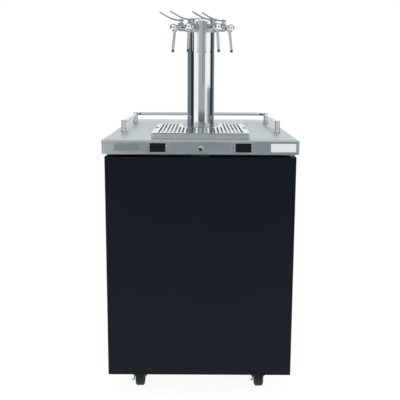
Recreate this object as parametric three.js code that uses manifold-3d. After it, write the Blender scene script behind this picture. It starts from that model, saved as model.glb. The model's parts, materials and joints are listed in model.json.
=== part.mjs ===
// A draft wine dispenser: a two-zone refrigerated cabinet on casters with one hinged door,
// a stainless worktop with a drip tray and a guard rail, and a polished column with four lever taps.
// Millimetres, +X to the right, +Y to the back, +Z up. The origin is on the floor, under the middle.
import * as THREE from "three";
import { mergeVertices } from "three/addons/utils/BufferGeometryUtils.js";
import Module from "manifold-3d";

const wasm = await Module();
wasm.setup();

// Fits that every sub-part shares
const seatGap = 0.3; // between pieces that rest on each other
const runningGap = 0.4; // between a pin and its bore
const overrun = 2; // how far a cutting shape passes the face that it cuts
const weldDistance = 0.0005; // corners nearer than this are one corner

// Worktop
const counterWidth = 603;
const counterDepth = 790;
const counterHeight = 851; // floor to upper face
const fasciaHeight = 43;
const counterSheet = 2;
const counterCornerRadius = 6;
const counterEdgeRadius = 2.5;

// Cabinet
const cabinetSideInset = 6.5; // the worktop's overhang at each side
const cabinetClearance = 92; // floor to the underside of the base plate
const cabinetBackInset = 10; // the worktop's overhang at the back
const panelSheet = 1.5;
const basePlateSheet = 3;
const sideWall = 42;
const floorWall = 38;
const ceilingWall = 85;
const backWall = 42;
const machineRoomDepth = 178; // behind the insulation, for the compressor and its fan
const dividerThickness = 20;
const dividerSetback = 24; // behind the cabinet's front face
const headerSheet = 2;
const headerSetback = 26; // behind the fascia, left free for the lock and its cam

// Door
const doorSetback = 10; // behind the worktop's front edge
const doorThickness = 50;
const doorTopGap = 10; // under the fascia
const doorDrop = 6; // how far the door hangs below the base plate's underside
const doorSheet = 2;
const doorEdgeRadius = 4;
const doorLinerFlange = 2;
const doorRimCornerRadius = 14;
const doorRimInset = 59; // from the door's edges to the liner's raised rim
const doorRimWidth = 14;
const doorRimDepth = 22;
const gasketThickness = 12;
const gasketWidth = 14;
const gasketInset = 16;

// Grip pocket in the door's upper edge
const gripInset = 11; // from the door's left edge
const gripWidth = 107;
const gripDepth = 24;
const gripSpan = 27; // front to back
const gripLip = 5; // thickness of the front lip
const gripLipDrop = 5; // how far the lip stands below the door's top
const gripCornerRadius = 6;

// Door hinges
const hingePinInset = 14; // from the door's right edge
const hingePinDepth = 25; // from the door's front face
const hingePinRadius = 4;
const hingePinReach = 22; // into the door
const hingeLeafSheet = 4;
const hingeLeafWidth = 24;
const hingeLeafOverlap = 12; // in front of the pin's axis
const hingeUpstand = 13;
const hingeUpstandSheet = 3;
const lowerHingeWidth = 30;
const hingeWasherGap = 0.8;

// Door lock
const lockDepthBelowTop = 27.5;
const lockHeadRadius = 9;
const lockHeadHeight = 3;
const lockHeadChamfer = 1.2;
const lockBarrelRadius = 7.8;
const lockBarrelLength = 18;
const lockCoreRadius = 5.6;
const lockNutRadius = 10.5;
const lockNutThickness = 4;
const lockCamReach = 22;
const lockCamWidth = 10;
const lockCamSheet = 2.5;
const keySlotWidth = 1.8;
const keySlotHeight = 7;
const keySlotDepth = 6;
const strikeWidth = 57;
const strikeHeight = 5.5;
const strikeFootDepth = 24;
const strikeSheet = 1.5;
const strikeCamGap = 1.6; // between the strike's lip and the cam behind it

// Temperature controllers
const controllerSideInset = 171; // from the worktop's side to the controller's middle
const controllerDepthBelowTop = 22;
const controllerFaceWidth = 76;
const controllerFaceHeight = 34;
const controllerFaceSheet = 2.4;
const controllerFaceRadius = 2.5;
const controllerBodyWidth = 68;
const controllerBodyHeight = 26;
const controllerBodyDepth = 54;
const displayWidth = 48;
const displayHeight = 27;
const displaySheet = 1.2;

// Drip tray
const trayWidth = 306;
const trayDepth = 335;
const traySetback = 47;
const trayHeight = 15;
const traySheet = 1.5;
const trayCornerRadius = 5;
const trayNotchRadius = 64;
const drainRadius = 9;
const drainWall = 1.5;
const drainLength = 92;
const drainSide = 62; // left of the middle
const drainInset = 60; // from the tray's front edge
const grilleSheet = 2;
const grilleSlotPitch = 12.5;
const grilleSlotWidth = 6;
const grilleMargin = 11;
const grilleNotchMarginShare = 0.94; // brings the slots' ends a little nearer to the notch
const grilleRibHeight = 4;
const grilleRibSheet = 1.5;
const fingerNotchWidth = 11;
const fingerNotchLength = 44;
const fingerNotchBehindFront = 174;

// Guard rail
const railTubeRadius = 6.4;
const railPostRadius = 8.5;
const railCapRadius = 9.4;
const railCapHeight = 4;
const railCapChamfer = 3;
const railFootRadius = 12;
const railFootHeight = 3;
const railCentreHeight = 31;
const railSideInset = 35.5; // from the worktop's edges to the tube's middle
const railFrontSetback = 266;
const railRearPostInset = 150; // from the worktop's rear edge
const railBackInset = 98;
const railBendRadius = 42;

// Tower
const towerSetback = 290; // from the worktop's front edge to the column's axis
const columnRadius = 47.5;
const columnWall = 2;
const columnHeight = 369; // from the worktop to where the cap begins
const capHeight = 15;
const capEdgeRadius = 13.5;
const capPlugDepth = 5;
const flangeRadius = 58;
const flangeHeight = 6;
const flangeChamfer = 1.5;
const lineBundleRadius = 26;
const lineBundleDrop = 14; // below the cabinet's ceiling
const lineBundleHeadroom = 26; // below the taps' axis

// Taps
const tapDrop = 18; // from where the cap begins to the taps' axis
const shankRadius = 9;
const shankInnerReach = 33; // from the column's axis
const shankNutRadius = 11.2;
const shankNutInner = 39;
const shankNutOuter = 43.6;
const saddleRadius = 14.2;
const saddleThickness = 3.5;
const collarRadius = 13.2;
const collarLength = 11;
const barrelRadius = 11.4;
const barrelEnd = 88; // from the column's axis
const neckRadius = 9;
const ballReach = 108; // from the column's axis to the ball's middle
const ballRadius = 12.6;
const flowScrewRadius = 5.2;
const flowScrewReach = 95.5;
const flowScrewProud = 13.6; // from the tap's axis
const bonnetReach = 80; // from the column's axis to the lever's pivot
const bonnetRadius = 8.6;
const bonnetHeight = 15.4; // above the tap's axis
const bonnetCapRadius = 10.6;
const bonnetCapHeight = 2.6;
const pivotHeight = 25; // above the tap's axis
const pivotPinRadius = 2;
const earGap = 8.4; // between the ears that hold the lever
const earThickness = 2.8;
const earRadius = 4.2;
const stemRadius = 2.6;
const stemLength = 16;
const stemTravel = 2.3;
const spoutInset = 6; // from the ball's middle back to the spout's axis
const spoutSlant = THREE.MathUtils.degToRad(6.6);
const spoutRadius = 4.4;
const spoutTipRadius = 5;
const spoutTipLength = 7;
const spoutDrop = 81; // from the tap's axis to the tip
const spoutSocketDepth = 6;
const spoutBoreRadius = 3;
const spoutBoreDepth = 26;
const spoutCollarRadius = 6.6;
const spoutCollarDrop = 15;

// Tap levers
const leverReach = 72;
const leverRise = 27;
const leverThickness = 4.2;
const leverHubRadius = 4.6;
const leverCamOffset = 5;
const leverCamRadius = 4.4;
const leverNeckWidth = 6.4;
const leverPaddleWidth = 15;
const leverOpening = THREE.MathUtils.degToRad(30);
const camRestAngle = THREE.MathUtils.degToRad(75); // from straight down, at rest
const leverBendShares = [0.36, -0.05, 0.62, 0.36]; // control points along the reach and the rise
const leverWaistShare = 0.42; // of the reach, where the blade starts to widen
const leverCamGap = 0.35;

// Casters
const casterSideInset = 95; // from the cabinet's side to the swivel axis
const casterFrontSetback = 131; // from the worktop's front edge to the swivel axis
const casterRearInset = 90; // from the worktop's rear edge to the swivel axis
const casterPlateWidth = 66;
const casterPlateSheet = 3;
const casterRaceRadius = 20;
const casterRaceHeight = 5;
const casterTrail = 24;
const wheelRadius = 38;
const wheelWidth = 29;
const wheelCrown = 5; // chamfer of the tread's shoulders
const wheelSideBand = 10; // width of the tyre's side, round the sunk disc
const wheelHubRadius = 12;
const wheelHubRecess = 4;
const axleRadius = 4;
const forkOuterWidth = 38;
const forkSheet = 3;
const forkHeadRadius = 24;
const forkHeadThickness = 5;
const forkLegReach = 19; // half of each leg's width at the head
const forkLegRadius = 10;
const axleNutRadius = 6.5;
const axleNutHeight = 4;
const brakeSheet = 2.5;
const brakeArmReach = 21;
const brakeArmWidth = 11;
const brakeEyeRadius = 8.2;
const brakePadReach = 6;
const brakeArmAngle = THREE.MathUtils.degToRad(-128);

// Refrigeration
const compressorRadius = 68;
const compressorHeight = 150;
const compressorFootShares = [0.86, 0.22]; // radius at the foot, height where the side is upright
const compressorHeadShares = [0.85, 0.3, 0.5, 0.45]; // radius and rise of the dome's two rings
const compressorBoxShares = [0.8, 1.25, 0.35, 0.35, 0.65]; // terminal box: reach, width, foot and top
const compressorFootWidth = 150;
const compressorFootDepth = 120;
const compressorFootSheet = 4;
const compressorSideInset = 145; // from the cabinet's left side to the compressor's middle
const condenserSideInset = 45; // from the cabinet's right side
const condenserHeight = 190;
const condenserDepth = 40;
const condenserFinPitch = 28;
const condenserFinSheet = 3;
const condenserCore = 14;
const condenserSide = 20; // right of the middle, to its near end
const rearGap = 9; // between the rear panel and the condenser
const fanRadius = 78;
const fanHubRadius = 20;
const fanDepth = 18;
const fanBladeSheet = 3;
const fanBladePitch = THREE.MathUtils.degToRad(24);
const fanBladeReachShares = [0.6, 0.92, 1.04, 0.9]; // of the fan's radius, round the blade's outline
const fanBladeWidthShares = [0.4, 1, 0.7, 0.9, 0.7]; // of the hub's radius
const fanFrameSheet = 3;
const fanFrameGap = 4;
const fanMotorRadius = 22;
const fanMotorDepth = 30;
const fanShaftRadius = 4;
const evaporatorSideGap = 20.6; // between the housing and the walls of its zone
const evaporatorDepth = 160;
const evaporatorHeight = 32;
const evaporatorSlotHeight = 4;
const evaporatorSlotPitch = 8;
const evaporatorFrontShare = 0.7; // of the height, above the sloped edge
const ventSlotWidth = 190;
const ventSlotHeight = 7;
const ventSlotPitch = 19;
const ventSlotRows = 10;
const ventBottomMargin = 30;
const inletWidth = 50;
const inletHeight = 28;
const inletDepth = 24;
const inletRecess = 14;
const inletWall = 4;

// Facets
const bigSides = 28;
const midSides = 14;
const fewSides = 10;
const smallSides = 8;
const tinySides = 6;
const wheelSides = 16;

// Places that follow from the sizes
const frontY = -counterDepth / 2;
const cabinetWidth = counterWidth - 2 * cabinetSideInset;
const fasciaBottom = counterHeight - fasciaHeight;
const cabinetTop = counterHeight - counterSheet - seatGap;
const doorFrontY = frontY + doorSetback;
const doorBackY = doorFrontY + doorThickness;
const doorTop = fasciaBottom - doorTopGap;
const doorBottom = cabinetClearance - doorDrop;
const cabinetFrontY = doorBackY + gasketThickness;
const cabinetBackY = counterDepth / 2 - cabinetBackInset;
const innerHalfWidth = cabinetWidth / 2 - panelSheet - seatGap;
const liningHalfWidth = innerHalfWidth - sideWall;
const kegFloor = cabinetClearance + basePlateSheet + seatGap + floorWall;
const kegCeiling = cabinetTop - ceilingWall;
const insulationBackY = cabinetBackY - machineRoomDepth;
const kegRoomBackY = insulationBackY - backWall;
const baseTop = cabinetClearance + basePlateSheet;
const towerY = frontY + towerSetback;
const tapAxis = counterHeight + columnHeight - tapDrop;
const hingeX = cabinetWidth / 2 - hingePinInset;
const hingeY = doorFrontY + hingePinDepth;
const lockZ = counterHeight - lockDepthBelowTop;
const camFrontY = frontY + lockBarrelLength + lockNutThickness;
const trayFloor = counterHeight + seatGap;
const trayTop = trayFloor + trayHeight;
const trayFrontY = frontY + traySetback;
const drainY = trayFrontY + drainInset;
const axleZ = wheelRadius;
const railHalfWidth = counterWidth / 2 - railSideInset;
const casterX = cabinetWidth / 2 - casterSideInset;
const compressorX = compressorSideInset - cabinetWidth / 2;
const condenserWidth = cabinetWidth / 2 - condenserSideInset - condenserSide;
const evaporatorWidth = liningHalfWidth - dividerThickness / 2 - 2 * evaporatorSideGap;

// Materials
const steel = { roughness: 0.28, metalness: 1 };
const finishes = {
  satinSteel: new THREE.MeshStandardMaterial({ color: 0xb9c2c6, ...steel }),
  polishedSteel: new THREE.MeshStandardMaterial({ color: 0xd6dadc, roughness: 0.08, metalness: 1 }),
  zincSteel: new THREE.MeshStandardMaterial({ color: 0xc4c8ca, roughness: 0.4, metalness: 1 }),
  blackSteel: new THREE.MeshStandardMaterial({ color: 0x1c2128, roughness: 0.5, metalness: 0.1 }),
  blackPlastic: new THREE.MeshStandardMaterial({ color: 0x15171a, roughness: 0.6, metalness: 0 }),
  blackRubber: new THREE.MeshStandardMaterial({ color: 0x101112, roughness: 0.8, metalness: 0 }),
  paleLiner: new THREE.MeshStandardMaterial({ color: 0xd9dcdc, roughness: 0.5, metalness: 0 }),
  darkGlass: new THREE.MeshStandardMaterial({ color: 0x0b0d10, roughness: 0.1, metalness: 0 }),
  greyFoam: new THREE.MeshStandardMaterial({ color: 0x55585a, roughness: 0.9, metalness: 0 }),
  bareAluminium: new THREE.MeshStandardMaterial({ color: 0xb4b7b8, roughness: 0.35, metalness: 1 }),
};

const dispenser = new THREE.Group();

// Solids

// Welds a closed geometry's corners and gives it back as a solid, with its faces pointing out.
function solid(geometry, matrix) {
  const loose = geometry.index ? geometry.toNonIndexed() : geometry;
  loose.deleteAttribute("normal");
  loose.deleteAttribute("uv");
  if (matrix) loose.applyMatrix4(matrix);
  const welded = mergeVertices(loose, weldDistance);
  const corners = [];
  for (let i = 0; i < welded.index.count; i += 3) {
    const [a, b, c] = [0, 1, 2].map((k) => welded.index.getX(i + k));
    if (a !== b && b !== c && c !== a) corners.push(a, b, c);
  }
  const build = (triVerts) =>
    new wasm.Manifold(
      new wasm.Mesh({
        numProp: 3,
        vertProperties: new Float32Array(welded.attributes.position.array),
        triVerts: new Uint32Array(triVerts),
      }),
    );
  const made = build(corners);
  return made.volume() < 0 ? build(corners.toReversed()) : made;
}

function join(...pieces) {
  return pieces.reduce((whole, piece) => whole.add(piece));
}

function cut(whole, ...tools) {
  return tools.reduce((left, tool) => left.subtract(tool), whole);
}

// Adds a finished solid to the object as one named mesh.
function addPiece(name, body, material, group = dispenser) {
  const { vertProperties, triVerts } = body.getMesh();
  const geometry = new THREE.BufferGeometry();
  geometry.setAttribute("position", new THREE.BufferAttribute(new Float32Array(vertProperties), 3));
  geometry.setIndex(new THREE.BufferAttribute(new Uint32Array(triVerts), 1));
  geometry.computeVertexNormals();
  const mesh = new THREE.Mesh(geometry, material.clone());
  mesh.name = name;
  group.add(mesh);
  return mesh;
}

// A matrix that turns about X, Y and Z and then moves.
function placed(x, y, z, turnX = 0, turnY = 0, turnZ = 0) {
  const turn = new THREE.Quaternion().setFromEuler(new THREE.Euler(turnX, turnY, turnZ));
  return new THREE.Matrix4().compose(new THREE.Vector3(x, y, z), turn, new THREE.Vector3(1, 1, 1));
}

// A box between two corners.
function block([x0, y0, z0], [x1, y1, z1], matrix) {
  const box = new THREE.BoxGeometry(x1 - x0, y1 - y0, z1 - z0);
  box.translate((x0 + x1) / 2, (y0 + y1) / 2, (z0 + z1) / 2);
  return solid(box, matrix);
}

// A round bar from one point to another.
function bar(radius, from, to, sides = midSides) {
  const start = new THREE.Vector3(...from);
  const end = new THREE.Vector3(...to);
  const cylinder = new THREE.CylinderGeometry(radius, radius, start.distanceTo(end), sides);
  const along = end.clone().sub(start).normalize();
  const turn = new THREE.Quaternion().setFromUnitVectors(new THREE.Vector3(0, 1, 0), along);
  cylinder.applyQuaternion(turn);
  cylinder.translate(...start.add(end).divideScalar(2).toArray());
  return solid(cylinder);
}

// A profile of [radius, height] points turned about Z.
function turned(profile, sides, matrix) {
  const lathe = new THREE.LatheGeometry(profile.map(([r, z]) => new THREE.Vector2(r, z)), sides);
  lathe.rotateX(Math.PI / 2);
  return solid(lathe, matrix);
}

// An outline in the XY plane raised from z0 to z1.
function raised(outline, z0, z1, matrix, curveSegments = 6) {
  const depth = z1 - z0;
  const prism = new THREE.ExtrudeGeometry(outline, { depth, bevelEnabled: false, curveSegments });
  prism.translate(0, 0, z0);
  return solid(prism, matrix);
}

// A round tube along a curve.
function swept(curve, radius, sides, steps) {
  const section = new THREE.Shape();
  section.absarc(0, 0, radius, 0, 2 * Math.PI);
  return solid(new THREE.ExtrudeGeometry(section, { extrudePath: curve, steps, curveSegments: sides }));
}

// A rectangle with round corners.
function roundedRectangle(x0, y0, x1, y1, radius) {
  const outline = new THREE.Shape();
  outline.moveTo(x0 + radius, y0);
  outline.lineTo(x1 - radius, y0);
  outline.absarc(x1 - radius, y0 + radius, radius, -Math.PI / 2, 0);
  outline.lineTo(x1, y1 - radius);
  outline.absarc(x1 - radius, y1 - radius, radius, 0, Math.PI / 2);
  outline.lineTo(x0 + radius, y1);
  outline.absarc(x0 + radius, y1 - radius, radius, Math.PI / 2, Math.PI);
  outline.lineTo(x0, y0 + radius);
  outline.absarc(x0 + radius, y0 + radius, radius, Math.PI, 1.5 * Math.PI);
  return outline;
}

// Upright outlines are drawn in X and Z: this matrix stands them up, with their depth along +Y.
const upright = placed(0, 0, 0, Math.PI / 2).premultiply(new THREE.Matrix4().makeScale(1, -1, 1));

// Points on a quarter of a circle from one angle to another.
function arcPoints(x, y, radius, from, to, count) {
  return Array.from({ length: count + 1 }, (_, i) => {
    const angle = from + ((to - from) * i) / count;
    return [x + radius * Math.cos(angle), y + radius * Math.sin(angle)];
  });
}

const controllerX = [controllerSideInset - counterWidth / 2, counterWidth / 2 - controllerSideInset];
const controllerZ = counterHeight - controllerDepthBelowTop;

// Worktop: a deep-drawn pan turned down on all four sides
function makeCounterTop() {
  const halfWidth = counterWidth / 2;
  const edge = counterEdgeRadius;
  const outline = roundedRectangle(
    -halfWidth + edge, frontY + edge, halfWidth - edge, -frontY - edge, counterCornerRadius - edge,
  );
  const pan = new THREE.ExtrudeGeometry(outline, {
    depth: fasciaHeight,
    bevelThickness: edge,
    bevelSize: edge,
    bevelSegments: 2,
    curveSegments: 3,
  });
  pan.translate(0, 0, fasciaBottom - edge);
  const cutterHalf = halfWidth + overrun;
  const below = block(
    [-cutterHalf, frontY - overrun, fasciaBottom - 2 * edge - overrun],
    [cutterHalf, -frontY + overrun, fasciaBottom],
  );
  const hollow = block(
    [-halfWidth + counterSheet, frontY + counterSheet, fasciaBottom - overrun],
    [halfWidth - counterSheet, -frontY - counterSheet, counterHeight - counterSheet],
  );
  const cutHalfWidth = controllerBodyWidth / 2 + seatGap;
  const cutHalfHeight = controllerBodyHeight / 2 + seatGap;
  const frontCuts = controllerX.map((x) =>
    block(
      [x - cutHalfWidth, frontY - overrun, controllerZ - cutHalfHeight],
      [x + cutHalfWidth, frontY + counterSheet + overrun, controllerZ + cutHalfHeight],
    ),
  );
  const lockHole = bar(
    lockBarrelRadius + seatGap,
    [0, frontY - overrun, lockZ],
    [0, frontY + counterSheet + overrun, lockZ],
  );
  const throughTop = (x, y, radius) =>
    bar(radius, [x, y, counterHeight - counterSheet - overrun], [x, y, counterHeight + overrun]);
  return cut(
    solid(pan), below, hollow, ...frontCuts, lockHole,
    throughTop(0, towerY, lineBundleRadius + seatGap),
    throughTop(-drainSide, drainY, drainRadius + seatGap),
  );
}

// Header: the channel behind the fascia that closes the space over the door
function makeHeader() {
  const front = frontY + headerSetback;
  const back = cabinetFrontY - seatGap;
  const bottom = fasciaBottom + seatGap;
  return cut(
    block([-innerHalfWidth, front, bottom], [innerHalfWidth, back, cabinetTop]),
    block(
      [-innerHalfWidth + headerSheet, front - overrun, bottom + headerSheet],
      [innerHalfWidth - headerSheet, back - headerSheet, cabinetTop + overrun],
    ),
  );
}

// Base plate: the bottom of the cabinet with the casters' plates, races and king pins
function makeBasePlate() {
  const plate = block(
    [-innerHalfWidth, cabinetFrontY, cabinetClearance],
    [innerHalfWidth, cabinetBackY - panelSheet - seatGap, baseTop],
  );
  const slots = [-2, -1, 0, 1, 2].map((i) => {
    const y = (insulationBackY + cabinetBackY) / 2 + i * ventSlotPitch;
    return block(
      [-ventSlotWidth / 2, y - ventSlotHeight / 2, cabinetClearance - overrun],
      [ventSlotWidth / 2, y + ventSlotHeight / 2, baseTop + overrun],
    );
  });
  const pads = casterPlaces.flatMap(({ x, y }) => [
    raised(
      roundedRectangle(
        x - casterPlateWidth / 2, y - casterPlateWidth / 2,
        x + casterPlateWidth / 2, y + casterPlateWidth / 2, casterPlateSheet * 2,
      ),
      cabinetClearance - casterPlateSheet, cabinetClearance + seatGap, undefined, 1,
    ),
    turned(
      [
        [0, raceBottom],
        [casterRaceRadius - casterRaceHeight / 2, raceBottom],
        [casterRaceRadius, raceBottom + casterRaceHeight / 2],
        [casterRaceRadius, cabinetClearance],
        [0, cabinetClearance],
      ],
      smallSides, placed(x, y, 0),
    ),
    bar(axleRadius, [x, y, forkTop - forkHeadThickness], [x, y, cabinetClearance], smallSides),
  ]);
  return join(cut(plate, ...slots), ...pads);
}

// Side panels
function makeSidePanel(side) {
  const outer = (side * cabinetWidth) / 2;
  const inner = side * (cabinetWidth / 2 - panelSheet);
  return block(
    [Math.min(outer, inner), cabinetFrontY, cabinetClearance],
    [Math.max(outer, inner), cabinetBackY, cabinetTop],
  );
}

// Rear panel with its rows of vents
function makeRearPanel() {
  const front = cabinetBackY - panelSheet;
  const slots = [];
  for (let row = 0; row < ventSlotRows; row += 1) {
    const z = baseTop + ventBottomMargin + row * ventSlotPitch;
    for (const side of [-1, 1]) {
      const middle = (side * innerHalfWidth) / 2;
      slots.push(
        block(
          [middle - ventSlotWidth / 2, front - overrun, z],
          [middle + ventSlotWidth / 2, cabinetBackY + overrun, z + ventSlotHeight],
        ),
      );
    }
  }
  const plate = block(
    [-innerHalfWidth, front, baseTop + seatGap],
    [innerHalfWidth, cabinetBackY, cabinetTop],
  );
  const inletHole = block(
    [inletX - inletWidth / 2 - seatGap, front - overrun, inletZ - inletHeight / 2 - seatGap],
    [inletX + inletWidth / 2 + seatGap, cabinetBackY + overrun, inletZ + inletHeight / 2 + seatGap],
  );
  return cut(plate, ...slots, inletHole);
}

const inletX = -innerHalfWidth / 2;
const inletZ = baseTop + ventBottomMargin + ventSlotRows * ventSlotPitch + inletHeight * 2;

// Appliance inlet: a flanged socket with three blades at the bottom of its recess
function makePowerInlet() {
  const front = cabinetBackY - inletDepth;
  const back = cabinetBackY + inletWall / 2;
  const shell = cut(
    block(
      [inletX - inletWidth / 2, front, inletZ - inletHeight / 2],
      [inletX + inletWidth / 2, back, inletZ + inletHeight / 2],
    ),
    block(
      [inletX - inletWidth / 2 + inletWall, back - inletRecess, inletZ - inletHeight / 2 + inletWall],
      [inletX + inletWidth / 2 - inletWall, back + overrun, inletZ + inletHeight / 2 - inletWall],
    ),
  );
  const blades = [-1, 0, 1].map((i) =>
    block(
      [inletX + i * inletWall * 3 - inletWall / 4, back - inletRecess - overrun, inletZ - inletWall],
      [inletX + i * inletWall * 3 + inletWall / 4, back - inletWall * 2, inletZ + inletWall],
    ),
  );
  return join(shell, ...blades);
}

// Insulated lining: the walls round the keg room, open at the front
function makeLining() {
  const shell = block(
    [-innerHalfWidth, cabinetFrontY, baseTop + seatGap],
    [innerHalfWidth, insulationBackY, cabinetTop],
  );
  const room = block(
    [-liningHalfWidth, cabinetFrontY - overrun, kegFloor],
    [liningHalfWidth, kegRoomBackY, kegCeiling],
  );
  const through = (x, y, radius) => bar(radius, [x, y, kegCeiling - overrun], [x, y, cabinetTop + overrun]);
  return cut(
    shell, room,
    through(0, towerY, lineBundleRadius + seatGap),
    through(-drainSide, drainY, drainRadius + seatGap),
  );
}

// Wall between the two temperature zones, notched under the throat
function makeDivider() {
  const wall = block(
    [-dividerThickness / 2, cabinetFrontY + dividerSetback, kegFloor + seatGap],
    [dividerThickness / 2, kegRoomBackY - seatGap, kegCeiling - seatGap],
  );
  const notch = bar(
    lineBundleRadius + 2 * overrun,
    [0, towerY, kegCeiling - lineBundleDrop - 2 * overrun],
    [0, towerY, kegCeiling + overrun],
  );
  return cut(wall, notch);
}

// Evaporator: a hung housing with a sloped front and air slots
function makeEvaporator(side) {
  const middle = (side * (liningHalfWidth + dividerThickness / 2)) / 2;
  const back = kegRoomBackY - seatGap;
  const top = kegCeiling - seatGap;
  const profile = new THREE.Shape([
    new THREE.Vector2(back, top),
    new THREE.Vector2(back, top - evaporatorHeight),
    new THREE.Vector2(back - evaporatorDepth + evaporatorHeight, top - evaporatorHeight),
    new THREE.Vector2(back - evaporatorDepth, top - evaporatorHeight * evaporatorFrontShare),
    new THREE.Vector2(back - evaporatorDepth, top),
  ]);
  const housing = raised(
    profile, middle - evaporatorWidth / 2, middle + evaporatorWidth / 2,
    new THREE.Matrix4().set(0, 0, 1, 0, 1, 0, 0, 0, 0, 1, 0, 0, 0, 0, 0, 1),
  );
  const rows = Math.floor((evaporatorHeight * evaporatorFrontShare) / evaporatorSlotPitch);
  const slots = Array.from({ length: rows }, (_, i) => {
    const z = top - (i + 1) * evaporatorSlotPitch;
    return block(
      [middle - evaporatorWidth / 2 + evaporatorSlotPitch, back - evaporatorDepth - overrun, z],
      [
        middle + evaporatorWidth / 2 - evaporatorSlotPitch,
        back - evaporatorDepth + evaporatorSlotHeight,
        z + evaporatorSlotHeight,
      ],
    );
  });
  return cut(housing, ...slots);
}

// Compressor: a welded dome on a foot plate, with its terminal box
function makeCompressor() {
  const x = compressorX;
  const y = (insulationBackY + cabinetBackY) / 2;
  const foot = baseTop + seatGap;
  const shoulder = compressorHeight - compressorRadius / 2;
  const [footShare, sideShare] = compressorFootShares;
  const [lowRadius, lowRise, highRadius, highRise] = compressorHeadShares;
  const dome = turned(
    [
      [0, compressorFootSheet / 2],
      [compressorRadius * footShare, compressorFootSheet / 2],
      [compressorRadius, compressorHeight * sideShare],
      [compressorRadius, shoulder],
      [compressorRadius * lowRadius, shoulder + compressorRadius * lowRise],
      [compressorRadius * highRadius, shoulder + compressorRadius * highRise],
      [0, compressorHeight],
    ],
    midSides, placed(x, y, foot),
  );
  const plate = raised(
    roundedRectangle(
      x - compressorFootWidth / 2, y - compressorFootDepth / 2,
      x + compressorFootWidth / 2, y + compressorFootDepth / 2, compressorFootSheet * 3,
    ),
    foot, foot + compressorFootSheet, undefined, 2,
  );
  const [near, far, halfWidth, low, high] = compressorBoxShares;
  const terminals = block(
    [x + compressorRadius * near, y - compressorRadius * halfWidth, foot + compressorHeight * low],
    [x + compressorRadius * far, y + compressorRadius * halfWidth, foot + compressorHeight * high],
  );
  return join(dome, plate, terminals);
}

// Condenser: a core with upright fins on both faces
function makeCondenser() {
  const back = cabinetBackY - panelSheet - rearGap;
  const middle = back - condenserDepth / 2;
  const foot = baseTop + seatGap;
  const core = block(
    [condenserSide, middle - condenserCore / 2, foot],
    [condenserSide + condenserWidth, middle + condenserCore / 2, foot + condenserHeight],
  );
  const fins = [];
  const lastFinX = condenserSide + condenserWidth - condenserFinSheet;
  for (let x = condenserSide; x <= lastFinX; x += condenserFinPitch) {
    fins.push(
      block([x, back - condenserDepth, foot], [x + condenserFinSheet, back, foot + condenserHeight]),
    );
  }
  return join(core, ...fins);
}

const fanX = condenserSide + condenserWidth / 2;
const fanZ = baseTop + seatGap + condenserHeight / 2;
const fanFrameY = cabinetBackY - panelSheet - rearGap - condenserDepth - fanFrameGap - fanFrameSheet;

// Fan frame: a plate with a round mouth, three arms and the motor that they hold
function makeFanFrame() {
  const foot = baseTop + seatGap;
  const mouth = bar(
    fanRadius + fanFrameGap,
    [fanX, fanFrameY - overrun, fanZ],
    [fanX, fanFrameY + fanFrameSheet + overrun, fanZ],
    wheelSides,
  );
  const plate = cut(
    block(
      [condenserSide, fanFrameY, foot],
      [condenserSide + condenserWidth, fanFrameY + fanFrameSheet, foot + condenserHeight],
    ),
    mouth,
  );
  const motorFront = fanFrameY - fanDepth - fanMotorDepth;
  const motorBack = fanFrameY - fanDepth;
  const motor = bar(fanMotorRadius, [fanX, motorFront, fanZ], [fanX, motorBack, fanZ], fewSides);
  const shaft = bar(
    fanShaftRadius,
    [fanX, motorBack - overrun, fanZ],
    [fanX, fanFrameY - fanFrameSheet, fanZ],
    smallSides,
  );
  const arms = [0, 1, 2].flatMap((i) => {
    const angle = Math.PI / 2 + (i * 2 * Math.PI) / 3;
    const [cos, sin] = [Math.cos(angle), Math.sin(angle)];
    const reach = fanRadius + 2 * fanFrameGap;
    const armY = motorFront + fanFrameSheet;
    const near = [fanX + (cos * fanMotorRadius) / 2, armY, fanZ + (sin * fanMotorRadius) / 2];
    const far = [fanX + cos * reach, armY, fanZ + sin * reach];
    const legEnd = far.with(1, fanFrameY + fanFrameSheet);
    return [
      bar(fanFrameSheet, near, far, tinySides),
      bar(fanFrameSheet, far.with(1, armY - fanFrameSheet), legEnd, tinySides),
    ];
  });
  return join(plate, motor, shaft, ...arms);
}

// Fan: five pitched blades on a hub, bored for the shaft
function makeFan() {
  const hub = bar(
    fanHubRadius, [fanX, fanFrameY - fanDepth + seatGap, fanZ], [fanX, fanFrameY - fanFrameSheet / 2, fanZ],
  );
  const middleY = fanFrameY - fanDepth / 2;
  const blades = [0, 1, 2, 3, 4].map((i) => {
    const [waist, leading, tip, trailing] = fanBladeReachShares.map((share) => share * fanRadius);
    const [root, swell, front, back, pinch] = fanBladeWidthShares.map((share) => share * fanHubRadius);
    const outline = new THREE.Shape();
    outline.moveTo(fanHubRadius / 2, -root);
    outline.quadraticCurveTo(waist, -swell, leading, -front);
    outline.quadraticCurveTo(tip, 0, trailing, back);
    outline.quadraticCurveTo(waist, pinch, fanHubRadius / 2, root);
    const pitch = placed(0, 0, 0, fanBladePitch);
    const stand = placed(0, 0, 0, Math.PI / 2);
    const spin = placed(fanX, middleY, fanZ, 0, (i * 2 * Math.PI) / 5, 0);
    const turn = spin.multiply(stand).multiply(pitch);
    return raised(outline, -fanBladeSheet / 2, fanBladeSheet / 2, turn, 2);
  });
  const bore = bar(
    fanShaftRadius + runningGap,
    [fanX, fanFrameY - fanDepth - overrun, fanZ],
    [fanX, fanFrameY - fanFrameSheet + seatGap, fanZ],
    smallSides,
  );
  return cut(join(hub, ...blades), bore);
}

// Door skin: a folded pan with a grip pocket drawn into its upper edge
const gripX0 = -cabinetWidth / 2 + gripInset;
const gripX1 = gripX0 + gripWidth;
const gripY0 = doorFrontY + gripLip;
const gripY1 = gripY0 + gripSpan;

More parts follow.
